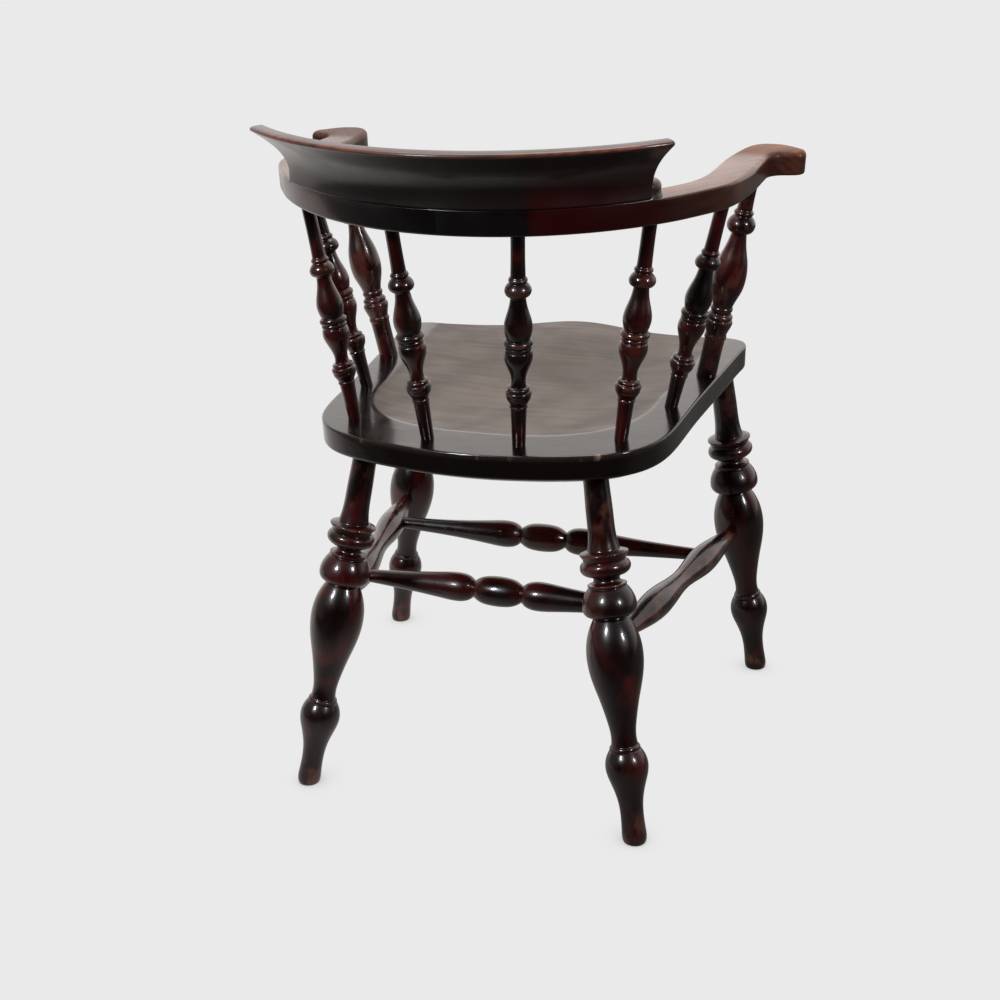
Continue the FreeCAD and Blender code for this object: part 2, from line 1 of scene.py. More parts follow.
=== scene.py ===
"""Photographed look of a smoker's bow armchair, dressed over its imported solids.

The chair is all wood: a dished plank seat, turned legs and stretchers, turned spindles and arm
posts, and a low horseshoe bow of two arms with a thick crest. Each piece is rebuilt here as a fine
mesh with a procedural polished finish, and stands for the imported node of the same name.

Lengths in the drawings are millimetres in the drawing frame, whose origin lies under the middle of
the seat. DrawingFrame turns them into metres in the row's frame.
"""

import logging
import math
from dataclasses import dataclass, field
from enum import Enum

import bmesh
import bpy
import numpy as np
from mathutils import Matrix, Vector

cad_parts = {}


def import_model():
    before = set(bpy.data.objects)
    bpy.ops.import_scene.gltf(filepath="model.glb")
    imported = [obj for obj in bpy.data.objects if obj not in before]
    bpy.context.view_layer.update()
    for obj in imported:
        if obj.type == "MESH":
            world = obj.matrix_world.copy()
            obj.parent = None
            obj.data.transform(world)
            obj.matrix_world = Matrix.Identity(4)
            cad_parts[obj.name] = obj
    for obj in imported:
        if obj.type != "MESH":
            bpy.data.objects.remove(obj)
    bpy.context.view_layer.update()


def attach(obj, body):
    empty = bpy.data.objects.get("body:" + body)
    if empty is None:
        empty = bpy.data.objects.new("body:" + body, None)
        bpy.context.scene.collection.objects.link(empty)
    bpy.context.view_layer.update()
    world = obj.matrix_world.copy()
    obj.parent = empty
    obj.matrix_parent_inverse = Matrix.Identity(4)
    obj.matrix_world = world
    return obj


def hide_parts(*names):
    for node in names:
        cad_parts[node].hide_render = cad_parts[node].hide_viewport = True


LOG = logging.getLogger("armchair")
MM = 0.001
Curve = tuple[tuple[float, float], ...]
Curves = tuple[Curve, ...]
Face = tuple[int, ...]
Triple = tuple[float, float, float]
Colour = Triple


class Side(Enum):
    """Side of the chair, as the sitter sees it."""

    LEFT = 1
    RIGHT = -1

    @property
    def word(self) -> str:
        """Name of the side as it stands in the node names."""
        return self.name.lower()


class Slot(Enum):
    """Material slots of the record."""

    TURNED = "turned_wood"
    SEAT = "seat_wood"
    CREST = "crest_wood"
    ARM = "arm_wood"
    DOWEL = "dowel_wood"


# Curves and meshes
def spline(points: np.ndarray, step: float, closed: bool = False) -> np.ndarray:
    """Sample the cubic curve that passes smoothly through some points.

    Args:
        points: (n, d) positions.
        step: largest distance between samples.
        closed: whether the curve runs on from the last point to the first.

    Returns:
        (m, d) samples. The last point of a closed curve isn't repeated.
    """
    points = np.asarray(points, float)
    if len(points) == 2:
        count = max(1, math.ceil(np.linalg.norm(points[1] - points[0]) / step))
        return points[0] + np.linspace(0, 1, count + 1)[:, None] * (points[1] - points[0])
    if closed:
        points = np.vstack([points[-3:], points, points[:4]])
    chord = np.linalg.norm(np.diff(points, axis=0), axis=1)
    place = np.concatenate([[0.0], np.cumsum(chord)])
    count = len(points)
    system = np.eye(count)
    right = np.zeros_like(points)
    for row in range(1, count - 1):
        before, after = chord[row - 1], chord[row]
        system[row, row - 1 : row + 2] = before, 2 * (before + after), after
        slopes = (points[row + 1] - points[row]) / after - (points[row] - points[row - 1]) / before
        right[row] = 6 * slopes
    bend = np.linalg.solve(system, right)
    first, last = (3, count - 4) if closed else (0, count - 1)
    length = place[last] - place[first]
    samples = max(2, math.ceil(length / step)) + 1
    at = np.linspace(place[first], place[last], samples)
    index = np.clip(np.searchsorted(place, at, side="right") - 1, 0, count - 2)
    gap = chord[index][:, None]
    low = (place[index + 1] - at)[:, None]
    high = (at - place[index])[:, None]
    curve = (
        bend[index] * low**3 / (6 * gap)
        + bend[index + 1] * high**3 / (6 * gap)
        + (points[index] / gap - bend[index] * gap / 6) * low
        + (points[index + 1] / gap - bend[index + 1] * gap / 6) * high
    )
    return curve[:-1] if closed else curve


def respaced(points: np.ndarray, count: int) -> np.ndarray:
    """Space the points of an open polyline evenly.

    Args:
        points: (n, d) positions.
        count: number of points that come out.

    Returns:
        (count, d) positions on the same polyline.
    """
    run = np.concatenate([[0.0], np.cumsum(np.linalg.norm(np.diff(points, axis=0), axis=1))])
    at = np.linspace(0, run[-1], count)
    return np.stack([np.interp(at, run, points[:, axis]) for axis in range(points.shape[1])], 1)


def smoothstep(low: float, high: float, value: np.ndarray) -> np.ndarray:
    """Return 0 below low, 1 above high and a smooth rise between them."""
    share = np.clip((value - low) / (high - low), 0.0, 1.0)
    return share * share * (3.0 - 2.0 * share)


def rounding(radius: float | np.ndarray, distance: np.ndarray) -> np.ndarray:
    """Return how far a rounded edge lies below its face, at a distance in from the edge."""
    inside = np.clip(radius - distance, 0.0, radius)
    return radius - np.sqrt(radius**2 - inside**2)


def distance_to(points: np.ndarray, line: np.ndarray) -> np.ndarray:
    """Measure how far plan points lie from an open polyline.

    Args:
        points: (n, 2) positions.
        line: (m, 2) corners of the polyline.

    Returns:
        The distance of each point.
    """
    start, run = line[:-1], np.diff(line, axis=0)
    square = np.maximum((run**2).sum(1), 1e-12)
    best = np.full(len(points), 1e9)
    for low in range(0, len(points), 2000):
        part = points[low : low + 2000, None, :] - start[None]
        share = np.clip((part * run[None]).sum(2) / square, 0, 1)
        gap = part - share[..., None] * run[None]
        best[low : low + 2000] = np.sqrt((gap**2).sum(2).min(1))
    return best


def grid_faces(rows: int, columns: int, wrap: bool = False) -> list[Face]:
    """Join a grid of vertices that is stored row by row into quads.

    Args:
        rows: number of rows.
        columns: vertices in a row.
        wrap: whether the last column joins the first.

    Returns:
        The faces, as indices of vertices.
    """
    faces = []
    for row in range(rows - 1):
        for column in range(columns if wrap else columns - 1):
            right = (column + 1) % columns
            low = row * columns
            high = low + columns
            faces.append((low + column, low + right, high + right, high + column))
    return faces


@dataclass(frozen=True)
class DrawingFrame:
    """Place of the drawing frame in the row's frame."""

    shift: Triple = (7.3587, 11.9370, 0.0)

    def world(self, points: np.ndarray) -> np.ndarray:
        """Turn drawing millimetres into metres of the row."""
        return (np.asarray(points, float) + np.array(self.shift)) * MM


@dataclass(frozen=True)
class Board:
    """A board whose plan is tilted back and sideways."""

    height: float
    fall: float
    sideways: float = 0.0

    def turn(self) -> np.ndarray:
        """Work out the tilt of the board.

        Returns:
            The rotation as a 3 by 3 matrix.
        """
        back = -math.atan(self.fall)
        side = -math.atan(self.sideways)
        about_x = Matrix.Rotation(back, 3, "X")
        about_y = Matrix.Rotation(side, 3, "Y")
        return np.array(about_y @ about_x)

    def place(self, points: np.ndarray) -> np.ndarray:
        """Turn plan positions (x, y, height above the plan) into the drawing frame."""
        points = np.atleast_2d(np.asarray(points, float))
        return points @ self.turn().T + np.array([0.0, 0.0, self.height])

    def point(self, plan: tuple[float, float], height: float = 0.0) -> np.ndarray:
        """Return the place of one plan point."""
        return self.place([[plan[0], plan[1], height]])[0]


SEAT_BOARD = Board(height=447.5, fall=0.036)
BOW_BOARD = Board(height=687.0, fall=0.0599, sideways=0.0284)
FRAME = DrawingFrame()


@dataclass
class MeshData:
    """Vertices in drawing millimetres, faces, and values stored on the vertices."""

    vertices: np.ndarray
    faces: list[Face]
    grain: np.ndarray
    values: dict[str, np.ndarray] = field(default_factory=dict)

    def joined(self, other: "MeshData") -> "MeshData":
        """Join another mesh to this one.

        Args:
            other: the mesh that is added. A value that it lacks is 0 on its vertices.

        Returns:
            One mesh with the vertices and faces of both.
        """
        count = len(self.vertices)
        faces = self.faces + [tuple(index + count for index in face) for face in other.faces]
        values = {
            name: np.concatenate([value, other.values.get(name, np.zeros(len(other.vertices)))])
            for name, value in self.values.items()
        }
        vertices = np.vstack([self.vertices, other.vertices])
        return MeshData(vertices, faces, np.vstack([self.grain, other.grain]), values)


@dataclass
class Piece:
    """One physical piece of the chair as it is shown."""

    name: str
    slot: Slot
    material: bpy.types.Material

    def show(self, data: MeshData, merge: float = 0.0, crease: float = 50.0) -> None:
        """Make the piece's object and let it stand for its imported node.

        Its place is in its vertices, and its own origin is the row's origin.

        Args:
            data: the piece's mesh.
            merge: distance in millimetres under which vertices become one, or 0 for none.
            crease: angle in degrees above which an edge is shaded sharp.
        """
        mesh = bpy.data.meshes.new(self.name)
        mesh.from_pydata(FRAME.world(data.vertices).tolist(), [], data.faces)
        grain = mesh.attributes.new("grain", "FLOAT_VECTOR", "POINT")
        grain.data.foreach_set("vector", np.ascontiguousarray(data.grain * MM, np.float32).ravel())
        for name, value in data.values.items():
            layer = mesh.attributes.new(name, "FLOAT", "POINT")
            layer.data.foreach_set("value", np.ascontiguousarray(value, np.float32))
        mesh.validate()
        if merge:
            self._merge(mesh, merge * MM)
        mesh.shade_smooth()
        mesh.set_sharp_from_angle(angle=math.radians(crease))
        mesh.materials.append(self.material)
        shown = bpy.data.objects.new(f"look_{self.name}", mesh)
        bpy.context.scene.collection.objects.link(shown)
        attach(shown, "root")
        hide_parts(self.name)
        LOG.info("%s shown with %d faces", self.name, len(mesh.polygons))

    @staticmethod
    def _merge(mesh: bpy.types.Mesh, distance: float) -> None:
        """Weld the vertices of a mesh that lie close together, and turn its faces outwards.

        Args:
            mesh: the mesh that is changed.
            distance: distance in metres under which vertices become one.
        """
        work = bmesh.new()
        work.from_mesh(mesh)
        bmesh.ops.remove_doubles(work, verts=work.verts, dist=distance)
        bmesh.ops.recalc_face_normals(work, faces=work.faces)
        work.to_mesh(mesh)
        work.free()


# Nodes
def taken_apart(mesh: bpy.types.Mesh) -> tuple[np.ndarray, list[Face]]:
    """Read a mesh out and remove it.

    Args:
        mesh: the mesh.

    Returns:
        Its vertices and its faces.
    """
    vertices = np.zeros(3 * len(mesh.vertices), np.float32)
    mesh.vertices.foreach_get("co", vertices)
    faces = [tuple(face.vertices) for face in mesh.polygons]
    bpy.data.meshes.remove(mesh)
    return vertices.reshape(-1, 3).astype(float), faces


class Wiring:
    """Short names for adding and joining the nodes of a tree."""

    def __init__(self, tree: bpy.types.NodeTree) -> None:
        """Work on a tree."""
        self.tree = tree

    def add(self, kind: str, **settings: object) -> bpy.types.Node:
        """Add a node.

        Args:
            kind: type of the node.
            settings: the node's properties that are set.

        Returns:
            The node.
        """
        node = self.tree.nodes.new(kind)
        for label, value in settings.items():
            setattr(node, label, value)
        return node

    def link(self, start: bpy.types.NodeSocket, end: bpy.types.NodeSocket) -> None:
        """Join two sockets."""
        self.tree.links.new(start, end)

    def feed(self, socket: bpy.types.NodeSocket, value: object) -> None:
        """Give an input its value.

        Args:
            socket: the input.
            value: a constant, or the output that leads to it.
        """
        if isinstance(value, bpy.types.NodeSocket):
            self.link(value, socket)
        elif isinstance(value, tuple) and len(value) == 3 and socket.type == "RGBA":
            socket.default_value = (*value, 1.0)
        else:
            socket.default_value = value

    def calc(self, operation: str, *values: object) -> bpy.types.NodeSocket:
        """Work out one sum.

        Args:
            operation: name of the sum.
            values: its terms, each a constant or an output.

        Returns:
            The result.
        """
        node = self.add("ShaderNodeMath", operation=operation)
        for socket, value in zip(node.inputs, values):
            self.feed(socket, value)
        return node.outputs[0]

    def span(
        self, value: object, low: float, high: float, start: float = 0.0, end: float = 1.0
    ) -> bpy.types.NodeSocket:
        """Map a value smoothly from one span to another.

        Args:
            value: a constant or an output.
            low: value that becomes start.
            high: value that becomes end.
            start: result at low and beyond it.
            end: result at high and beyond it.

        Returns:
            The mapped value.
        """
        node = self.add("ShaderNodeMapRange", interpolation_type="SMOOTHSTEP")
        self.feed(node.inputs["Value"], value)
        limits = {"From Min": low, "From Max": high, "To Min": start, "To Max": end}
        for label, number in limits.items():
            node.inputs[label].default_value = number
        return node.outputs["Result"]

    def axes(self, place: bpy.types.NodeSocket) -> bpy.types.NodeOutputs:
        """Split a position.

        Args:
            place: the position.

        Returns:
            Its X, Y and Z outputs.
        """
        split = self.add("ShaderNodeSeparateXYZ")
        self.link(place, split.inputs[0])
        return split.outputs


class NodeLine(Wiring):
    """A node group with a few named inputs, built node by node."""

    def __init__(self, name: str, inputs: dict[str, str]) -> None:
        """Make the group.

        Args:
            name: name of the group.
            inputs: socket type for each input name, after the geometry.
        """
        super().__init__(bpy.data.node_groups.new(name, "GeometryNodeTree"))
        face = self.tree.interface
        face.new_socket("Geometry", in_out="INPUT", socket_type="NodeSocketGeometry")
        for label, kind in inputs.items():
            face.new_socket(label, in_out="INPUT", socket_type=kind)
        face.new_socket("Geometry", in_out="OUTPUT", socket_type="NodeSocketGeometry")
        self.entry = self.add("NodeGroupInput")
        self.exit = self.add("NodeGroupOutput")

    def finish(self, geometry: bpy.types.NodeSocket) -> None:
        """Make copies real, give the geometry its material and lead it out of the group.

        Args:
            geometry: the output that holds the geometry.
        """
        real = self.add("GeometryNodeRealizeInstances")
        coat = self.add("GeometryNodeSetMaterial")
        self.link(geometry, real.inputs[0])
        self.link(real.outputs[0], coat.inputs["Geometry"])
        self.link(self.entry.outputs["Material"], coat.inputs["Material"])
        self.link(coat.outputs[0], self.exit.inputs[0])

    def bake(
        self, start: bpy.types.Mesh, values: dict[str, object]
    ) -> tuple[np.ndarray, list[Face]]:
        """Run the group on a mesh.

        Args:
            start: mesh that the group works on. It is removed afterwards.
            values: value for each named input.

        Returns:
            The vertices and the faces of the plain mesh that comes out.
        """
        source = bpy.data.objects.new(start.name, start)
        bpy.context.scene.collection.objects.link(source)
        modifier = source.modifiers.new(self.tree.name, "NODES")
        modifier.node_group = self.tree
        for item in self.tree.interface.items_tree:
            if item.in_out == "INPUT" and item.name in values:
                modifier[item.identifier] = values[item.name]
        graph = bpy.context.evaluated_depsgraph_get()
        mesh = bpy.data.meshes.new_from_object(source.evaluated_get(graph), depsgraph=graph)
        source.modifiers.remove(modifier)
        bpy.data.objects.remove(source)
        bpy.data.meshes.remove(start)
        return taken_apart(mesh)


class Lathe(NodeLine):
    """Turns a line of points, each with a radius, into a round piece about +Z."""

    def __init__(self) -> None:
        """Build the group: line to curve, radius from the line, swept circle, material."""
        super().__init__("lathe", {"Sides": "NodeSocketInt", "Material": "NodeSocketMaterial"})
        curve = self.add("GeometryNodeMeshToCurve")
        radius = self.add("GeometryNodeInputNamedAttribute", data_type="FLOAT")
        radius.inputs["Name"].default_value = "turned_radius"
        sized = self.add("GeometryNodeSetCurveRadius")
        circle = self.add("GeometryNodeCurvePrimitiveCircle", mode="RADIUS")
        circle.inputs["Radius"].default_value = 1.0
        sweep = self.add("GeometryNodeCurveToMesh")
        sweep.inputs["Fill Caps"].default_value = True
        self.link(self.entry.outputs["Geometry"], curve.inputs[0])
        self.link(curve.outputs[0], sized.inputs["Curve"])
        self.link(radius.outputs["Attribute"], sized.inputs["Radius"])
        if "Scale" in sweep.inputs:
            self.link(radius.outputs["Attribute"], sweep.inputs["Scale"])
        self.link(self.entry.outputs["Sides"], circle.inputs["Resolution"])
        self.link(sized.outputs[0], sweep.inputs["Curve"])
        self.link(circle.outputs[0], sweep.inputs["Profile Curve"])
        self.finish(sweep.outputs[0])

    def turn(self, profile: np.ndarray, sides: int, material: bpy.types.Material) -> MeshData:
        """Turn a profile.

        Args:
            profile: (n, 2) heights and radii, with rising heights.
            sides: number of facets around.
            material: finish of the piece.

        Returns:
            The round piece about +Z, in millimetres.
        """
        line = bpy.data.meshes.new("line")
        points = np.zeros((len(profile), 3))
        points[:, 2] = profile[:, 0]
        edges = [(index, index + 1) for index in range(len(profile) - 1)]
        line.from_pydata(points.tolist(), edges, [])
        layer = line.attributes.new("turned_radius", "FLOAT", "POINT")
        layer.data.foreach_set("value", np.ascontiguousarray(profile[:, 1], np.float32))
        vertices, faces = self.bake(line, {"Sides": sides, "Material": material})
        return MeshData(vertices, faces, vertices.copy())


# Finishes
class Shade(Wiring):
    """A material and short names for the nodes that its finish is made of."""

    def __init__(self, name: str) -> None:
        """Make a material with an output and a principled shader.

        Args:
            name: name of the material.
        """
        self.material = bpy.data.materials.new(name)
        self.material.use_nodes = True
        super().__init__(self.material.node_tree)
        self.tree.nodes.clear()
        self.surface = self.add("ShaderNodeBsdfPrincipled")
        self.out = self.add("ShaderNodeOutputMaterial")
        self.link(self.surface.outputs[0], self.out.inputs["Surface"])

    def stored(self, name: str) -> bpy.types.NodeSocket:
        """Return a value that is stored on the vertices."""
        return self.add("ShaderNodeAttribute", attribute_name=name).outputs["Fac"]

    def grain(self, stretch: Triple) -> bpy.types.NodeSocket:
        """Scale the piece's own grain coordinates.

        Args:
            stretch: factor on each axis.

        Returns:
            The scaled coordinates.
        """
        place = self.add("ShaderNodeAttribute", attribute_name="grain").outputs["Vector"]
        scaled = self.add("ShaderNodeVectorMath", operation="MULTIPLY")
        self.link(place, scaled.inputs[0])
        scaled.inputs[1].default_value = stretch
        return scaled.outputs[0]

    def noise(
        self, stretch: Triple, detail: float = 3.0, twist: float = 0.0
    ) -> bpy.types.NodeSocket:
        """Spread noise over the grain coordinates.

        Args:
            stretch: factor on each axis, higher for a finer pattern.
            detail: number of finer layers.
            twist: how far the pattern is distorted.

        Returns:
            The noise, from 0 to 1.
        """
        node = self.add("ShaderNodeTexNoise")
        self.link(self.grain(stretch), node.inputs["Vector"])
        node.inputs["Scale"].default_value = 1.0
        node.inputs["Detail"].default_value = detail
        node.inputs["Distortion"].default_value = twist
        return node.outputs["Fac"]

    def rings(self, stretch: Triple, twist: float) -> bpy.types.NodeSocket:
        """Draw the growth-ring figure of a sawn board.

        Args:
            stretch: factor on each axis, higher for narrower rings.
            twist: how far the rings wander.

        Returns:
            The figure, from 0 to 1.
        """
        node = self.add("ShaderNodeTexWave", wave_type="RINGS", rings_direction="Z")
        self.link(self.grain(stretch), node.inputs["Vector"])
        node.inputs["Scale"].default_value = 1.0
        node.inputs["Distortion"].default_value = twist
        node.inputs["Detail"].default_value = 2.0
        node.inputs["Detail Scale"].default_value = 0.6
        return node.outputs["Fac"]

    def blend(self, share: object, first: object, second: object) -> bpy.types.NodeSocket:
        """Blend two colours.

        Args:
            share: share of the second colour.
            first: colour at a share of 0.
            second: colour at a share of 1.

        Returns:
            The blended colour.
        """
        node = self.add("ShaderNodeMix", data_type="RGBA")
        self.feed(node.inputs[0], share)
        self.feed(node.inputs[6], first)
        self.feed(node.inputs[7], second)
        return node.outputs[2]

    def relief(self, *layers: tuple[object, float]) -> None:
        """Give the surface a fine relief.

        Args:
            layers: height and depth in metres of each layer.
        """
        normal = None
        for height, depth in layers:
            node = self.add("ShaderNodeBump")
            node.inputs["Strength"].default_value = 1.0
            self.feed(node.inputs["Distance"], depth)
            self.link(height, node.inputs["Height"])
            if normal is not None:
                self.link(normal, node.inputs["Normal"])
            normal = node.outputs[0]
        self.link(normal, self.surface.inputs["Normal"])
        self.link(normal, self.surface.inputs["Coat Normal"])

    def polish(
        self, colour: object, roughness: object, coat: object, coat_roughness: object
    ) -> None:
        """Set the colour and the polish of the surface.

        Args:
            colour: colour of the surface.
            roughness: roughness below the clear coat.
            coat: weight of the clear coat.
            coat_roughness: roughness of the clear coat.
        """
        settings = {
            "Base Color": colour, "Roughness": roughness, "Coat Weight": coat,
            "Coat Roughness": coat_roughness, "Specular IOR Level": 0.3,
        }
        for label, value in settings.items():
            self.feed(self.surface.inputs[label], value)


@dataclass(frozen=True)
class TurnedPolish:
    """Oxblood polish over turned wood, rubbed on the beads, with painted shade in the grooves and a
    painted sheen on the arm posts.
    """

    black: Colour = (0.0042, 0.0008, 0.0007)
    red: Colour = (0.046, 0.0032, 0.0026)
    brown: Colour = (0.110, 0.036, 0.024)
    roughness: float = 0.24

    def build(self) -> bpy.types.Material:
        """Mix the finish from its colours.

        Returns:
            The material.
        """
        shade = Shade("turned polish")
        patches = shade.span(shade.noise((18.0, 18.0, 10.0), 4.0, 0.6), 0.44, 0.61)
        streaks = shade.span(shade.noise((150.0, 150.0, 7.0), 4.0, 0.4), 0.40, 0.66)
        glow = shade.calc("MULTIPLY", patches, shade.span(streaks, 0.0, 1.0, 0.55, 1.0))
        colour = shade.blend(glow, self.black, self.red)
        rubbed = shade.span(shade.noise((60.0, 60.0, 40.0), 5.0), 0.45, 0.62)
        # Rubbed brown from the wear value: real wear on beads, feet and stretchers, and a painted
        # sheen on the arm posts.
        worn = shade.calc("MULTIPLY", shade.stored("wear_and_sheen"), rubbed)
        colour = shade.blend(shade.calc("MULTIPLY", worn, 0.75), colour, self.brown)
        # Painted shade: black in the grooves.
        colour = shade.blend(shade.stored("crease_shade"), colour, self.black)
        pores = shade.noise((700.0, 700.0, 22.0), 2.0)
        smears = shade.noise((28.0, 28.0, 28.0), 4.0)
        roughness = shade.calc("ADD", shade.span(smears, 0.35, 0.7, 0.0, 0.12), self.roughness)
        coat_roughness = shade.span(smears, 0.3, 0.75, 0.05, 0.14)
        shade.polish(colour, roughness, 0.45, coat_roughness)
        shade.relief((pores, 0.00006), (shade.noise((90.0, 90.0, 30.0), 3.0), 0.00022))
        return shade.material


@dataclass(frozen=True)
class SeatPolish:
    """Dark polish on the rim, worn dull and grey-brown in the hollow, pale on the edge."""

    rim: Colour = (0.0036, 0.0014, 0.0012)
    hollow: Colour = (0.094, 0.068, 0.054)
    streak: Colour = (0.062, 0.043, 0.034)
    bare: Colour = (0.26, 0.17, 0.12)

    def build(self) -> bpy.types.Material:
        """Mix the finish from its colours.

        Returns:
            The material.
        """
        shade = Shade("seat polish")
        dish = shade.stored("dish")
        figure = shade.noise((9.0, 120.0, 120.0), 5.0, 0.8)
        hollow = shade.blend(shade.span(figure, 0.42, 0.62), self.hollow, self.streak)
        clouds = shade.noise((7.0, 10.0, 10.0), 3.0)
        hollow = shade.blend(shade.span(clouds, 0.4, 0.65, 0.0, 0.45), hollow, self.streak)
        colour = shade.blend(dish, self.rim, hollow)
        specks = shade.add("ShaderNodeTexVoronoi", feature="F1")
        shade.link(shade.grain((34.0, 34.0, 34.0)), specks.inputs["Vector"])
        specks.inputs["Scale"].default_value = 1.0
        speck = shade.span(specks.outputs["Distance"], 0.035, 0.075, 1.0, 0.0)
        chosen = shade.span(shade.noise((21.0, 21.0, 21.0), 1.0), 0.55, 0.6)
        colour = shade.blend(shade.calc("MULTIPLY", speck, chosen), colour, (0.004, 0.003, 0.003))
        scuffs = shade.span(shade.noise((70.0, 70.0, 40.0), 6.0), 0.60, 0.74, 0.10, 0.7)
        edge = shade.calc("MULTIPLY", shade.stored("edge"), scuffs)
        colour = shade.blend(shade.calc("MULTIPLY", edge, 0.55), colour, self.bare)
        colour = shade.blend(shade.stored("chip"), colour, self.bare)
        smears = shade.noise((22.0, 30.0, 22.0), 4.0)
        rim_gloss = shade.span(smears, 0.3, 0.7, 0.16, 0.27)
        hollow_gloss = shade.span(smears, 0.3, 0.7, 0.40, 0.52)
        gloss = shade.add("ShaderNodeMix", data_type="FLOAT")
        shade.link(dish, gloss.inputs[0])
        shade.link(rim_gloss, gloss.inputs[2])
        shade.link(hollow_gloss, gloss.inputs[3])
        coat = shade.span(dish, 0.0, 1.0, 0.5, 0.12)
        shade.polish(colour, gloss.outputs[0], coat, shade.span(dish, 0.0, 1.0, 0.10, 0.36))
        pores = shade.noise((16.0, 420.0, 420.0), 3.0)
        shade.relief((pores, 0.00007), (shade.noise((14.0, 26.0, 26.0), 3.0), 0.0005))
        return shade.material


@dataclass(frozen=True)
class BowPolish:
    """Dark polish on the arms and the crest, worn through where hands rest, with a painted
    highlight on the crest's lip and painted shade where the crest meets the arms.
    """

    name: str = "bow polish"
    dark: Colour = (0.0016, 0.0005, 0.0005)
    red: Colour = (0.019, 0.0004, 0.0005)
    worn: Colour = (0.25, 0.078, 0.020)
    worn_dark: Colour = (0.095, 0.026, 0.008)
    roughness: float = 0.27

    def build(self) -> bpy.types.Material:
        """Mix the finish from its colours.

        Returns:
            The material.
        """
        shade = Shade(self.name)
        clouds = shade.span(shade.noise((14.0, 14.0, 5.0), 4.0, 0.5), 0.36, 0.6, 0.55, 1.0)
        glow = shade.calc("MULTIPLY", shade.stored("glow"), clouds)
        colour = shade.blend(glow, self.dark, self.red)
        figure = shade.rings((60.0, 60.0, 2.0), 9.0)
        fibres = shade.noise((170.0, 170.0, 6.0), 4.0)
        fine = shade.calc("MULTIPLY", fibres, 0.8)
        tone = shade.calc("ADD", shade.calc("MULTIPLY", figure, 0.28), fine)
        rubbed = shade.blend(shade.span(tone, 0.3, 0.85), self.worn, self.worn_dark)
        patchy = shade.span(shade.noise((24.0, 24.0, 10.0), 5.0), 0.30, 0.66, 0.35, 1.0)
        # Wear colour, which on the crest's lip is also a painted highlight.
        share = shade.calc("MULTIPLY", shade.stored("wear_and_sheen"), patchy)
        colour = shade.blend(share, colour, rubbed)
        # Painted shade, near black, where the crest meets the arms.
        colour = shade.blend(shade.stored("crease_shade"), colour, (0.003, 0.002, 0.002))
        smears = shade.noise((18.0, 18.0, 12.0), 4.0)
        roughness = shade.calc("ADD", shade.span(smears, 0.35, 0.7, 0.0, 0.14), self.roughness)
        bare = shade.stored("bare")
        roughness = shade.calc("ADD", roughness, shade.calc("MULTIPLY", bare, 0.22))
        coat = shade.span(bare, 0.0, 1.0, 0.5, 0.08)
        shade.polish(colour, roughness, coat, shade.span(smears, 0.3, 0.7, 0.09, 0.2))
        pores = shade.noise((420.0, 420.0, 14.0), 3.0)
        shade.relief((pores, 0.00007), (shade.noise((22.0, 22.0, 10.0), 3.0), 0.0006))
        return shade.material


@dataclass(frozen=True)
class BareWood:
    """Unfinished pale wood of the hidden dowels."""

    pale: Colour = (0.42, 0.29, 0.17)
    dark: Colour = (0.28, 0.18, 0.10)

    def build(self) -> bpy.types.Material:
        """Mix the finish from its colours.

        Returns:
            The material.
        """
        shade = Shade("bare wood")
        fibres = shade.noise((400.0, 400.0, 20.0), 4.0)
        colour = shade.blend(shade.span(fibres, 0.4, 0.6), self.pale, self.dark)
        shade.polish(colour, 0.7, 0.0, 0.3)
        shade.relief((fibres, 0.0001))
        return shade.material


@dataclass(frozen=True)
class Finishes:
    """The materials of the chair."""

    turned: bpy.types.Material
    seat: bpy.types.Material
    arm: bpy.types.Material
    crest: bpy.types.Material
    dowel: bpy.types.Material

    @classmethod
    def build(cls) -> "Finishes":
        """Make every finish.

        Returns:
            The set of materials.
        """
        crest = BowPolish(
            "crest polish", dark=(0.0062, 0.0034, 0.0028), worn=(0.20, 0.050, 0.026),
            worn_dark=(0.085, 0.020, 0.012), roughness=0.38,
        )
        return cls(
            TurnedPolish().build(),
            SeatPolish().build(),
            BowPolish().build(),
            crest.build(),
            BareWood().build(),
        )


# Turned pieces
LEG: Curves = (
    ((-5.0, 10.0), (-1.0, 12.6), (3.0, 13.8), (9.0, 14.2)),
    ((9.0, 14.2), (28.0, 13.3), (50.0, 14.6), (70.0, 19.6), (91.0, 24.4), (103.0, 22.2),
     (110.5, 18.4)),
    ((111.0, 17.0), (113.5, 17.6), (116.0, 16.4)),
    ((116.0, 15.2), (123.0, 14.4), (146.0, 16.8), (170.0, 22.2), (194.0, 28.4), (218.0, 31.6),
     (241.0, 29.4), (256.0, 24.2), (264.0, 20.0)),
    ((265.0, 19.0), (269.0, 26.8)),
    ((269.0, 26.8), (272.5, 29.4), (277.5, 30.3), (286.0, 29.0), (294.0, 25.4), (299.0, 22.2)),
    ((299.0, 21.0), (301.0, 20.6)),
    ((301.2, 21.8), (303.4, 21.9)),
    ((303.6, 18.4), (306.5, 15.0), (309.5, 14.6), (312.5, 16.4)),
    ((313.6, 22.0), (316.5, 26.0), (322.0, 28.1), (327.0, 26.4), (329.2, 24.2)),
    ((329.6, 23.0), (333.0, 24.4), (337.0, 27.2)),
    ((338.4, 27.0), (340.4, 20.4)),
    ((340.4, 18.0), (350.0, 16.2), (380.0, 14.8), (409.0, 14.0)),
)
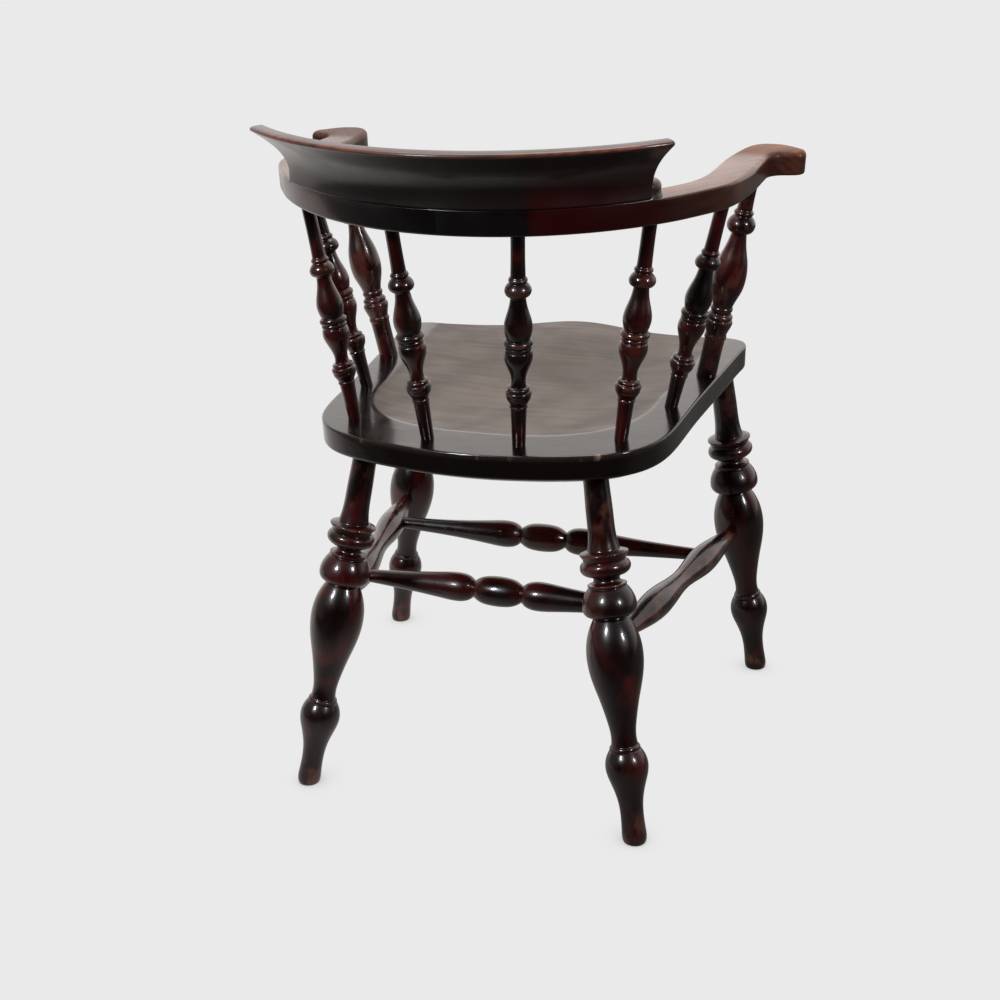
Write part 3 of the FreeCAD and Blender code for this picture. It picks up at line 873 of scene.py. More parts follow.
SPINDLE: Curves = (
    ((44.5, 9.3), (46.0, 9.9), (47.5, 9.3)),
    ((47.5, 8.9), (51.0, 10.4), (55.5, 12.8), (58.5, 13.3)),
    ((58.8, 13.3), (61.3, 14.0), (63.8, 13.1)),
    ((64.6, 11.3), (66.6, 12.2), (68.5, 11.0)),
    ((69.0, 8.6), (73.0, 7.7), (82.0, 8.7), (93.0, 12.8), (102.0, 15.1), (108.6, 14.2)),
    ((109.4, 12.9), (111.8, 14.3), (114.0, 13.2)),
    ((114.2, 13.8), (117.4, 15.4), (120.6, 13.9)),
    ((120.8, 12.3), (123.2, 12.5)),
    ((123.2, 12.9), (132.5, 14.8), (146.0, 12.4), (157.0, 9.2), (165.5, 8.0)),
    ((166.4, 8.6), (168.4, 12.0), (172.5, 13.8), (177.5, 12.2), (180.4, 9.6)),
    ((181.2, 8.5), (183.8, 9.9), (186.2, 8.5)),
)
POST: Curves = (
    ((-22.0, 11.8), (0.0, 11.8)),
    ((0.0, 11.8), (24.0, 11.5), (46.0, 11.8)),
    ((46.0, 12.2), (49.0, 12.9), (52.0, 12.2)),
    ((52.0, 11.8), (58.0, 13.6), (62.6, 15.2)),
    ((63.0, 15.0), (66.4, 15.9), (69.8, 14.9)),
    ((70.4, 13.4), (73.4, 14.6), (76.4, 13.0)),
    ((77.4, 11.6), (79.6, 11.4)),
    ((80.0, 12.1), (82.6, 12.8), (85.2, 11.9)),
    ((85.4, 11.4), (93.0, 13.6), (105.0, 17.6), (120.0, 19.2), (138.0, 16.8), (155.0, 11.6),
     (169.0, 8.6)),
    ((170.4, 9.2), (172.6, 13.2), (180.0, 15.8), (186.0, 13.4), (189.2, 10.4)),
    ((190.0, 9.6), (192.8, 11.1), (195.6, 9.4)),
)


@dataclass
class Turning:
    """A turned piece: its profile and how it is set up in the chair."""

    curves: Curves
    step: float = 0.55
    softness: float = 0.45
    sides: int = 56
    bead_reach: float = 4.0
    full_wear: float = 0.9
    # Groove depth that gets the full painted shade, and the most painted shade a groove gets.
    full_shade: float = 1.6
    most_shade: float = 0.9
    grain_step: Triple = (37.0, 11.0, 613.0)

    def profile(self) -> np.ndarray:
        """Draw the profile with every sharp edge rubbed soft.

        Returns:
            (n, 2) heights and radii.
        """
        runs = [spline(np.array(curve), self.step) for curve in self.curves]
        line = np.vstack(runs)
        keep = np.concatenate([[True], np.linalg.norm(np.diff(line, axis=0), axis=1) > 1e-6])
        line = line[keep]
        length = np.linalg.norm(np.diff(line, axis=0), axis=1).sum()
        line = respaced(line, int(length / self.step) + 2)
        reach = int(3 * self.softness / self.step) + 1
        offsets = np.arange(-reach, reach + 1) * self.step
        weights = np.exp(-0.5 * (offsets / self.softness) ** 2)
        weights /= weights.sum()
        before = 2 * line[0] - line[reach:0:-1]
        after = 2 * line[-1] - line[-2 : -reach - 2 : -1]
        padded = np.vstack([before, line, after])
        soft = np.stack([np.convolve(padded[:, axis], weights, "valid") for axis in (0, 1)], 1)
        soft[:, 0] = np.maximum.accumulate(soft[:, 0]) + np.arange(len(soft)) * 1e-3
        return soft

    def mesh(
        self, lathe: Lathe, material: bpy.types.Material, start: np.ndarray, unit: np.ndarray,
        seed: int,
    ) -> MeshData:
        """Turn the piece and set it up.

        Args:
            lathe: the node group that turns it.
            material: finish of the piece.
            start: place of the profile's zero height, in drawing millimetres.
            unit: direction of the axis.
            seed: picks the piece's own place in the grain.

        Returns:
            The mesh, with the wear of its beads and the painted shade of its grooves.
        """
        profile = self.profile()
        data = lathe.turn(profile, self.sides, material)
        span = max(1, int(self.bead_reach / self.step))
        kernel = np.ones(2 * span + 1) / (2 * span + 1)
        edge = np.pad(profile[:, 1], span, mode="edge")
        proud = profile[:, 1] - np.convolve(edge, kernel, "valid")
        height = data.vertices[:, 2]
        # Proud beads get wear; grooves sunk below their neighbours get painted shade.
        wear_and_sheen = np.clip(proud / self.full_wear, 0, 1)
        crease_shade = np.clip(-proud / self.full_shade, 0, self.most_shade)
        data.values["wear_and_sheen"] = np.interp(height, profile[:, 0], wear_and_sheen)
        data.values["crease_shade"] = np.interp(height, profile[:, 0], crease_shade)
        data.grain = data.vertices + np.array(self.grain_step) * seed
        turn = np.array(Vector((0, 0, 1)).rotation_difference(Vector(unit)).to_matrix())
        data.vertices = data.vertices @ turn.T + start
        return data


def unit_of(run: np.ndarray) -> np.ndarray:
    """Return the direction of a run."""
    return run / np.linalg.norm(run)


@dataclass
class Leg:
    """One turned leg."""

    side: Side
    foot: tuple[float, float]
    lean: tuple[float, float]
    socket_depth: float = 26.0
    seat_thickness: float = 38.0
    foot_wear: float = 0.9
    top_wear: float = 0.6

    def axis(self) -> tuple[np.ndarray, np.ndarray]:
        """Set out the leg's axis.

        Returns:
            Its foot and its direction.
        """
        sign = self.side.value
        start = np.array([sign * self.foot[0], self.foot[1], 0.0])
        return start, unit_of(np.array([sign * self.lean[0], self.lean[1], 1.0]))

    def at(self, distance: float) -> np.ndarray:
        """Return the point on the axis at a distance up from the floor."""
        start, unit = self.axis()
        return start + unit * distance

    def mesh(self, lathe: Lathe, material: bpy.types.Material, seed: int) -> MeshData:
        """Turn the leg up to its socket's end and saw it level at the floor.

        Args:
            lathe: the node group that turns the wood.
            material: finish of the leg.
            seed: picks the leg's own place in the grain.

        Returns:
            The leg, with its wear and the painted shade of its grooves.
        """
        start, unit = self.axis()
        normal = SEAT_BOARD.turn()[:, 2]
        under = SEAT_BOARD.point((0.0, 0.0), self.socket_depth - self.seat_thickness)
        length = float((under - start) @ normal / (unit @ normal))
        curves = LEG + (((409.0, 14.0), (length, 14.0)),)
        turning = Turning(curves, step=0.8, softness=0.5, sides=64)
        data = turning.mesh(lathe, material, start, unit, seed)
        low = data.vertices[:, 2] < 0.0
        data.vertices[low] -= unit * (data.vertices[low, 2] / unit[2])[:, None]
        foot_wear = self.foot_wear * smoothstep(60.0, 4.0, data.vertices[:, 2])
        top_wear = self.top_wear * smoothstep(345.0, 360.0, data.vertices[:, 2])
        data.values["wear_and_sheen"] = np.maximum.reduce([data.values["wear_and_sheen"], foot_wear, top_wear])
        return data


@dataclass
class LegSet:
    """The four legs."""

    rear_foot: tuple[float, float] = (209.0, 218.5)
    front_foot: tuple[float, float] = (269.8, -229.9)
    rear_lean: tuple[float, float] = (-0.18, -0.21)
    front_lean: tuple[float, float] = (-0.16, 0.03)

    def legs(self) -> dict[tuple[str, Side], Leg]:
        """Set out the four legs.

        Returns:
            The legs by end and side.
        """
        made = {}
        for side in Side:
            made["rear", side] = Leg(side, self.rear_foot, self.rear_lean)
            made["front", side] = Leg(side, self.front_foot, self.front_lean)
        return made

    def build(self, lathe: Lathe, finishes: Finishes) -> None:
        """Show the four legs.

        Args:
            lathe: the node group that turns the wood.
            finishes: the materials of the chair.
        """
        for seed, ((end, side), leg) in enumerate(self.legs().items()):
            piece = Piece(f"{end}_{side.word}_leg", Slot.TURNED, finishes.turned)
            piece.show(leg.mesh(lathe, finishes.turned, seed + 1), merge=0.01)


@dataclass
class StretcherSet:
    """The double H of stretchers."""

    legs: LegSet
    on_rear_leg: float = 235.3
    on_front_leg: float = 214.4
    cross_shares: tuple[float, float] = (0.244, 0.708)
    side_stop: float = 5.0
    cross_stop: float = 4.5
    end_radius: float = 7.2
    side_wear: float = 0.9

    def side_turning(self, length: float) -> Turning:
        """Draw a side stretcher of two swells and a waist.

        Args:
            length: distance between the axes of its legs.

        Returns:
            The turning, with heights from the rear leg's axis.
        """
        profile = (
            (self.side_stop, self.end_radius), (32.0, 8.2), (60.0, 11.6), (90.0, 16.0),
            (120.0, 17.8), (150.0, 15.8), (0.49 * length, 12.3), (length - 162.0, 15.8),
            (length - 136.0, 17.6),
            (length - 104.0, 15.9), (length - 66.0, 11.6), (length - 34.0, 8.2),
            (length - self.side_stop, self.end_radius),
        )
        return Turning((profile,), step=1.6, softness=1.0)

    def cross_turning(self, length: float) -> Turning:
        """Draw a cross stretcher, a barrel between two long cones.

        Args:
            length: distance between the axes of the side stretchers.

        Returns:
            The turning, with heights from its middle.
        """
        half = 0.5 * length - self.cross_stop
        cone = (
            (31.5, 10.6), (35.0, 13.6), (42.0, 16.6), (52.0, 17.7), (72.0, 16.2), (110.0, 12.4),
            (half, self.end_radius),
        )
        barrel = (
            (-30.0, 10.4), (-22.0, 15.2), (-9.0, 18.0), (9.0, 18.0), (22.0, 15.2), (30.0, 10.4),
        )
        other = tuple((-height, radius) for height, radius in reversed(cone))
        return Turning((other, barrel, cone), step=0.9, softness=0.5)

    def build(self, lathe: Lathe, finishes: Finishes) -> None:
        """Show the four stretchers.

        Args:
            lathe: the node group that turns the wood.
            finishes: the materials of the chair.
        """
        legs = self.legs.legs()
        rails = {}
        for seed, side in enumerate(Side):
            start = legs["rear", side].at(self.on_rear_leg)
            end = legs["front", side].at(self.on_front_leg)
            rails[side] = (start, end)
            turning = self.side_turning(float(np.linalg.norm(end - start)))
            data = turning.mesh(lathe, finishes.turned, start, unit_of(end - start), 11 + seed)
            data.values["wear_and_sheen"] = np.maximum(data.values["wear_and_sheen"], self.side_wear)
            Piece(f"{side.word}_side_stretcher", Slot.TURNED, finishes.turned).show(data)
        for seed, (name, share) in enumerate(zip(("rear", "front"), self.cross_shares)):
            right, left = (
                rails[side][0] + share * (rails[side][1] - rails[side][0])
                for side in (Side.RIGHT, Side.LEFT)
            )
            turning = self.cross_turning(float(np.linalg.norm(left - right)))
            middle = 0.5 * (left + right)
            data = turning.mesh(lathe, finishes.turned, middle, unit_of(left - right), 21 + seed)
            Piece(f"{name}_cross_stretcher", Slot.TURNED, finishes.turned).show(data)


@dataclass
class Upright:
    """A spindle or an arm post between the seat and the bow."""

    name: str
    foot: tuple[float, float]
    top: tuple[float, float]
    foot_extra: float = 0.0
    top_radius: float = 7.3
    socket: float = 17.0
    post_sheen: float = 0.55

    def spindle(self, length: float) -> Curves:
        """Draw a spindle, its pattern foot_extra further out of the seat.

        Args:
            length: distance from the seat to the underside of the bow.

        Returns:
            The profile.
        """
        extra = self.foot_extra
        pattern = tuple(
            tuple((height + extra, radius) for height, radius in curve) for curve in SPINDLE
        )
        foot = (((-22.0, 7.3), (0.0, 7.3)), ((0.0, 7.3), (22.0, 7.9), (44.5 + extra, 8.7)))
        neck = ((187.0 + extra, 7.7), (198.0 + extra, 7.4), (length, self.top_radius))
        return foot + pattern + (neck,)

    def post(self, length: float) -> Curves:
        """Return the profile of an arm post."""
        return POST + (((196.4, 8.6), (206.0, 8.2), (length, self.top_radius)),)

    def build(self, lathe: Lathe, finishes: Finishes, seed: int) -> None:
        """Show the piece.

        Args:
            lathe: the node group that turns the wood.
            finishes: the materials of the chair.
            seed: picks the piece's own place in the grain.
        """
        foot = SEAT_BOARD.point(self.foot)
        top = BOW_BOARD.point(self.top)
        length = float(np.linalg.norm(top - foot))
        is_post = self.name.endswith("post")
        curves = self.post(length) if is_post else self.spindle(length)
        curves += (((length, self.top_radius), (length + self.socket, self.top_radius)),)
        data = Turning(curves).mesh(lathe, finishes.turned, foot, unit_of(top - foot), seed)
        # Painted sheen: the whole arm post takes the rubbed brown of the wear value.
        if is_post:
            data.values["wear_and_sheen"] = np.maximum(data.values["wear_and_sheen"], self.post_sheen)
        Piece(self.name, Slot.TURNED, finishes.turned).show(data)


@dataclass
class UprightSet:
    """The six spindles and the two arm posts."""

    post_top_radius: float = 8.6

    def uprights(self) -> list[Upright]:
        """Set out the spindles and posts, each bored by eye in its own place.

        Returns:
            The six spindles and then the two posts.
        """
        thick = self.post_top_radius
        return [
            Upright("left_back_spindle", (49.0, 154.0), (63.5, 185.0), 0.5),
            Upright("right_back_spindle", (-56.2, 153.0), (-70.7, 185.0), 0.5),
            Upright("left_corner_spindle", (155.5, 112.5), (188.0, 120.5), -3.5),
            Upright("right_corner_spindle", (-158.0, 112.5), (-185.9, 119.2), -1.5),
            Upright("left_side_spindle", (185.5, 9.0), (238.6, 14.9), -3.5),
            Upright("right_side_spindle", (-188.0, 6.0), (-238.6, 14.9), -7.5),
            Upright("left_arm_post", (203.5, -102.5), (248.7, -90.0), top_radius=thick),
            Upright("right_arm_post", (-205.0, -105.5), (-248.7, -90.0), top_radius=thick),
        ]

    def build(self, lathe: Lathe, finishes: Finishes) -> None:
        """Show the spindles and posts."""
        for seed, upright in enumerate(self.uprights()):
            upright.build(lathe, finishes, 31 + seed)


# Seat
@dataclass
class Seat:
    """The dished plank."""

    thickness: float = 38.0
    edge: float = 27.0
    top_round: float = 2.4
    dish_depth: float = 14.0
    front_depth: float = 7.5
    half_width: float = 172.0
    centre_y: float = -20.0
    back_length: float = 148.0
    widening: float = 0.12
    power: float = 2.6
    ridge_half_width: float = 73.0
    ridge_back_y: float = -60.0
    ridge_length: float = 200.0
    ridge_keep: float = 0.97
    border_softness: float = 0.3
    rings: int = 118
    chip: tuple[float, float] = (-146.0, 161.5)
    chip_size: float = 2.2
    spine_share: float = 0.9
    spine_ends: tuple[float, float] = (-236.0, 139.0)
    under_rings: Curve = ((0.4, -0.4), (1.4, 0.6), (21.0, 10.4), (22.6, 11.0), (40.0, 11.0))
    grain_place: Triple = (900.0, 40.0, 0.0)

    def outline(self) -> np.ndarray:
        """Draw the plan of the seat.

        Returns:
            The closed outline.
        """
        half = [
            (70, 183), (137, 166), (168, 150.5), (188, 130), (200, 106), (206.5, 75), (211, 10),
            (217, -65), (225, -150), (229.5, -198), (231, -220), (226, -236), (212, -245.5),
            (190, -250), (150, -259), (100, -270), (50, -281),
        ]
        right = [(-x, y) for x, y in reversed(half)]
        return spline(np.array([(0, 189)] + half + [(0, -286)] + right, float), 3.2, closed=True)

    def level(self, plan: np.ndarray, ridged: bool = True) -> np.ndarray:
        """Return the height of the hollow at plan points. Outside the hollow it is positive.

        Args:
            plan: (..., 2) positions.
            ridged: whether the ridge at the front is counted.

        Returns:
            The heights above the rim.
        """
        x, y = plan[..., 0], plan[..., 1]
        front = np.maximum(0.0, self.centre_y - y)
        back = np.maximum(0.0, y - self.centre_y)
        across = np.abs(x) / (self.half_width + self.widening * front)
        inside = 1.0 - across**self.power - (back / self.back_length) ** self.power
        fade = smoothstep(0.0, 1.0, (self.ridge_back_y - y) / self.ridge_length)
        ridge = self.ridge_keep * fade * np.exp(-((x / self.ridge_half_width) ** 2)) * ridged
        depth = self.dish_depth + (self.front_depth - self.dish_depth) * fade
        return -depth * np.maximum(inside, -2.0) * (1.0 - ridge)

    def mesh(self) -> MeshData:
        """Lay rings from the middle out to the rim, down the edge and in under the plank.

        Returns:
            The seat, with its hollow, its worn edge and its chip as values.
        """
        line = self.outline()
        run = np.roll(line, -1, 0) - np.roll(line, 1, 0)
        inward = np.stack([run[:, 1], -run[:, 0]], 1)
        inward /= np.linalg.norm(inward, axis=1)[:, None]
        along = np.clip(line[:, 1] * self.spine_share, *self.spine_ends)
        spine = np.stack([np.zeros(len(line)), along], 1)
        rings: list[tuple[np.ndarray, np.ndarray, np.ndarray]] = []
        count = len(line)
        top_rings = [(inset, 0.0) for inset in (0.0, 0.18, 0.5, 1.0, 1.7, 2.6, 4.0)]
        top_rings += [(4.0, share) for share in np.linspace(0, 1, self.rings)[1:]]
        for inset, share in reversed(top_rings):
            plan = line + inward * inset
            plan = plan + (spine - plan) * share
            hollow = self.level(plan)
            soft = self.border_softness
            height = 0.5 * (hollow - np.sqrt(hollow**2 + soft**2))
            drop = rounding(self.top_round, np.full(count, inset)) if share == 0 else 0.0
            edge = np.full(count, math.exp(-((inset / 0.8) ** 2)) if share == 0 else 0.0)
            rings.append((plan, height - drop, edge))
        rim_height = rings[-1][1]
        for share in (0.2, 0.45, 0.7, 0.9, 1.0):
            height = rim_height + (-self.edge + 1.2 - rim_height) * share
            rings.append((line, height, np.full(count, max(0.0, 0.2 - share))))
        none = np.zeros(count)
        for inset, depth in self.under_rings:
            rings.append((line + inward * inset, np.full(count, -self.edge - depth), none))
        for share in (0.3, 0.7, 1.0):
            plan = line + inward * self.under_rings[-1][0]
            plan = plan + (spine - plan) * share
            rings.append((plan, np.full(count, -self.thickness), none))
        plan = np.vstack([ring[0] for ring in rings])
        height = np.concatenate([ring[1] for ring in rings])
        board = np.column_stack([plan, height])
        top = np.zeros(len(rings))
        top[: len(top_rings)] = 1.0
        on_top = np.repeat(top, count)
        chip = np.exp(-(np.linalg.norm(plan - np.array(self.chip), axis=1) / self.chip_size) ** 2)
        values = {
            "dish": smoothstep(0.15, 1.3, -self.level(plan, ridged=False)) * on_top,
            "edge": np.concatenate([ring[2] for ring in rings]),
            "chip": chip * (height > -4.0),
        }
        faces = grid_faces(len(rings), count, wrap=True)
        grain = board + np.array(self.grain_place)
        return MeshData(SEAT_BOARD.place(board), faces, grain, values)

    def build(self, finishes: Finishes) -> None:
        """Show the seat."""
        Piece("seat", Slot.SEAT, finishes.seat).show(self.mesh(), merge=0.02)


# Bow
# How far the finish of each arm is worn, and where its black turns to red, from the joint.
ARM_WEAR = {Side.LEFT: 0.35, Side.RIGHT: 0.85}
RED_FROM = {Side.LEFT: (100.0, 170.0), Side.RIGHT: (84.0, 96.0)}


@dataclass
class Arm:
    """One of the two arms that make up the horseshoe bow."""

    side: Side
    thickness: float = 25.0
    centre_y: float = -64.0
    outer_radius: float = 286.0
    inner_radius: float = 249.0
    outer_turn: float = 40.0
    inner_turn: float = 48.0
    joint_gap: float = 0.1
    top_round: float = 6.0
    crest_end_y: float = 146.0
    under_round: float = 3.0
    toe_in: float = 0.035
    pad_toe_in: float = 12.0
    reach: float = 1.04
    grain_turn: float = 40.0
    right_grain: float = 431.0
    outside: Curve = (
        (239, 93), (254, 67), (262, 33), (266.5, -5), (268, -35), (269, -56),
    )
    crease: Curve = ((269, -56), (270.6, -61.5), (273.6, -66.5), (281, -71.2))
    tip: Curve = ((293, -73.5), (300.0, -76.8), (303.4, -83.0), (302, -91))
    front: Curve = ((302, -91), (290, -102), (274, -111.5), (266, -112.6))
    inside: Curve = (
        (266, -112.6), (257, -112.5), (245, -106), (237, -91), (231, -66), (226, -36), (223.5, -2),
        (221.5, 34), (213, 66), (196, 91),
    )

    def _on_bow(self, radius: float, first: float, last: float) -> np.ndarray:
        """Return points on an arc about the bow's centre, between two angles from +X."""
        turn = np.radians(np.linspace(first, last, 60))
        return np.stack([radius * np.cos(turn), self.centre_y + radius * np.sin(turn)], 1)

    def edges(self) -> tuple[np.ndarray, np.ndarray]:
        """Draw both edges, from the joint to the front of the pad.

        Returns:
            The outer and the inner edge.
        """
        outer_back = 90 - math.degrees(math.asin(0.5 * self.joint_gap / self.outer_radius))
        inner_back = 90 - math.degrees(math.asin(0.5 * self.joint_gap / self.inner_radius))
        arc = self._on_bow(self.outer_radius, outer_back, self.outer_turn)
        rest = spline(np.vstack([arc[-1:], np.array(self.outside)]), 1.0)
        parts = [arc, rest[1:]]
        parts += [spline(np.array(curve), 0.8)[1:] for curve in (self.crease, self.tip, self.front)]
        outer = np.vstack(parts)
        arc = self._on_bow(self.inner_radius, self.inner_turn, inner_back)
        inside = spline(np.vstack([np.array(self.inside), arc[:1]]), 1.0)
        inner = np.vstack([inside, arc[1:]])[::-1]
        return outer, inner

    def matched(self, outer: np.ndarray, inner: np.ndarray) -> tuple[np.ndarray, np.ndarray]:
        """Space both edges so that each pair of points lies across the arm.

        Args:
            outer: (n, 2) outer edge.
            inner: (m, 2) inner edge.

        Returns:
            As many points on the outer edge as on the inner one.
        """
        marks = (
            ((0.0, 222.0), (0.0, 185.0)), ((219.0, 119.8), (166.6, 121.0)),
            ((262.0, 33.0), (221.5, 34.0)), ((269.0, -56.0), (231.0, -66.0)),
            ((281.0, -71.2), (235.0, -84.0)),
            ((302.0, -91.0), (250.0, -110.0)), ((266.0, -112.6), (266.0, -112.6)),
        )
        counts = (70, 40, 44, 22, 26, 34)
        places = []
        for line, which in ((outer, 0), (inner, 1)):
            run = np.concatenate([[0.0], np.cumsum(np.linalg.norm(np.diff(line, axis=0), axis=1))])
            gaps = [np.linalg.norm(line - np.array(pair[which]), axis=1) for pair in marks]
            knots = [run[np.argmin(gap)] for gap in gaps]
            at = [np.array([0.0])]
            for low, high, count in zip(knots[:-1], knots[1:], counts):
                share = np.linspace(0, 1, count + 1)[1:]
                if high == knots[-1]:
                    share = 1 - (1 - share) ** 1.6
                at.append(low + (high - low) * share)
            where = np.concatenate(at)
            places.append(np.stack([np.interp(where, run, line[:, axis]) for axis in (0, 1)], 1))
        return places[0], places[1]

    def set_out(self, points: np.ndarray) -> np.ndarray:
        """Move a +X arm's plan to its own side, the left one drawn in and longer.

        Args:
            points: (n, 3) positions on the bow's board.

        Returns:
            The moved positions.
        """
        if self.side is Side.RIGHT:
            return points * np.array([-1.0, 1.0, 1.0])
        joint_y = self.centre_y + self.outer_radius
        ahead = joint_y - points[:, 1]
        moved = points.copy()
        moved[:, 0] -= self.toe_in * ahead + self.pad_toe_in * smoothstep(210.0, 320.0, ahead)
        kept = np.maximum(moved[:, 0], 0.5 * self.joint_gap)
        moved[:, 0] = np.where(ahead > 60.0, moved[:, 0], kept)
        moved[:, 1] = joint_y - self.reach * ahead
        return moved

    def mesh(self) -> MeshData:
        """Make the arm of a top and an under sheet that meet at the edge.

        Returns:
            The arm, with its wear and its red glow as values.
        """
        outer, inner = self.edges()
        left, right = self.matched(outer, inner)
        border = np.vstack([outer, inner[::-1][1:]])
        ease = np.linspace(0, 1, 15)
        middle = np.linspace(0.25, 0.75, 14)[1:-1]
        across = np.concatenate([0.25 * ease**2, middle, 1 - 0.25 * ease[::-1] ** 2])
        plan = left[:, None, :] + (right - left)[:, None, :] * across[None, :, None]
        rows, columns = plan.shape[:2]
        flat = plan.reshape(-1, 2)
        gap = distance_to(flat, border)
        free = smoothstep(self.crest_end_y + 4.0, self.crest_end_y - 14.0, flat[:, 1])
        soft = 0.5 + free * (1.9 + (self.top_round - 2.4) * smoothstep(90.0, -20.0, flat[:, 1]))
        top = self.thickness - rounding(soft, gap) - 0.5 * free * np.exp(-gap / 9.0)
        under = rounding(self.under_round, gap)
        sheets = np.vstack([np.column_stack([flat, top]), np.column_stack([flat, under])])
        half = rows * columns
        faces = grid_faces(rows, columns)
        faces += [tuple(index + half for index in reversed(face)) for face in faces]
        rim = [row * columns for row in range(rows)]
        rim += [row * columns + columns - 1 for row in range(rows - 2, -1, -1)]
        loop = rim + list(range(columns - 2, 0, -1))
        for first, second in zip(loop, loop[1:] + loop[:1]):
            faces.append((first, first + half, second + half, second))
        y = np.concatenate([flat[:, 1], flat[:, 1]])
        is_top = np.concatenate([smoothstep(-0.5, 2.2, gap), np.zeros(half)])
        ahead = smoothstep(158.0, 100.0, y)
        from_joint = np.concatenate([flat[:, 0], flat[:, 0]])
        values = {
            "wear_and_sheen": (0.24 + 0.76 * is_top) * ahead * ARM_WEAR[self.side],
            "glow": smoothstep(*RED_FROM[self.side], from_joint),
            "bare": smoothstep(-35.0, -75.0, y),
            "crease_shade": np.zeros(2 * half),
        }
        turn = math.radians(self.grain_turn)
        cosine, sine = math.cos(turn), math.sin(turn)
        grain = np.column_stack([
            sheets[:, 0] * cosine + sheets[:, 1] * sine,
            sheets[:, 2],
            -sheets[:, 0] * sine + sheets[:, 1] * cosine,
        ])
        sheets = self.set_out(sheets)
        if self.side is Side.RIGHT:
            faces = [tuple(reversed(face)) for face in faces]
            grain = grain + self.right_grain
        return MeshData(BOW_BOARD.place(sheets), faces, grain, values)

    def build(self, finishes: Finishes) -> None:
        """Show the arm."""
        Piece(f"{self.side.word}_arm", Slot.ARM, finishes.arm).show(self.mesh(), merge=0.02)


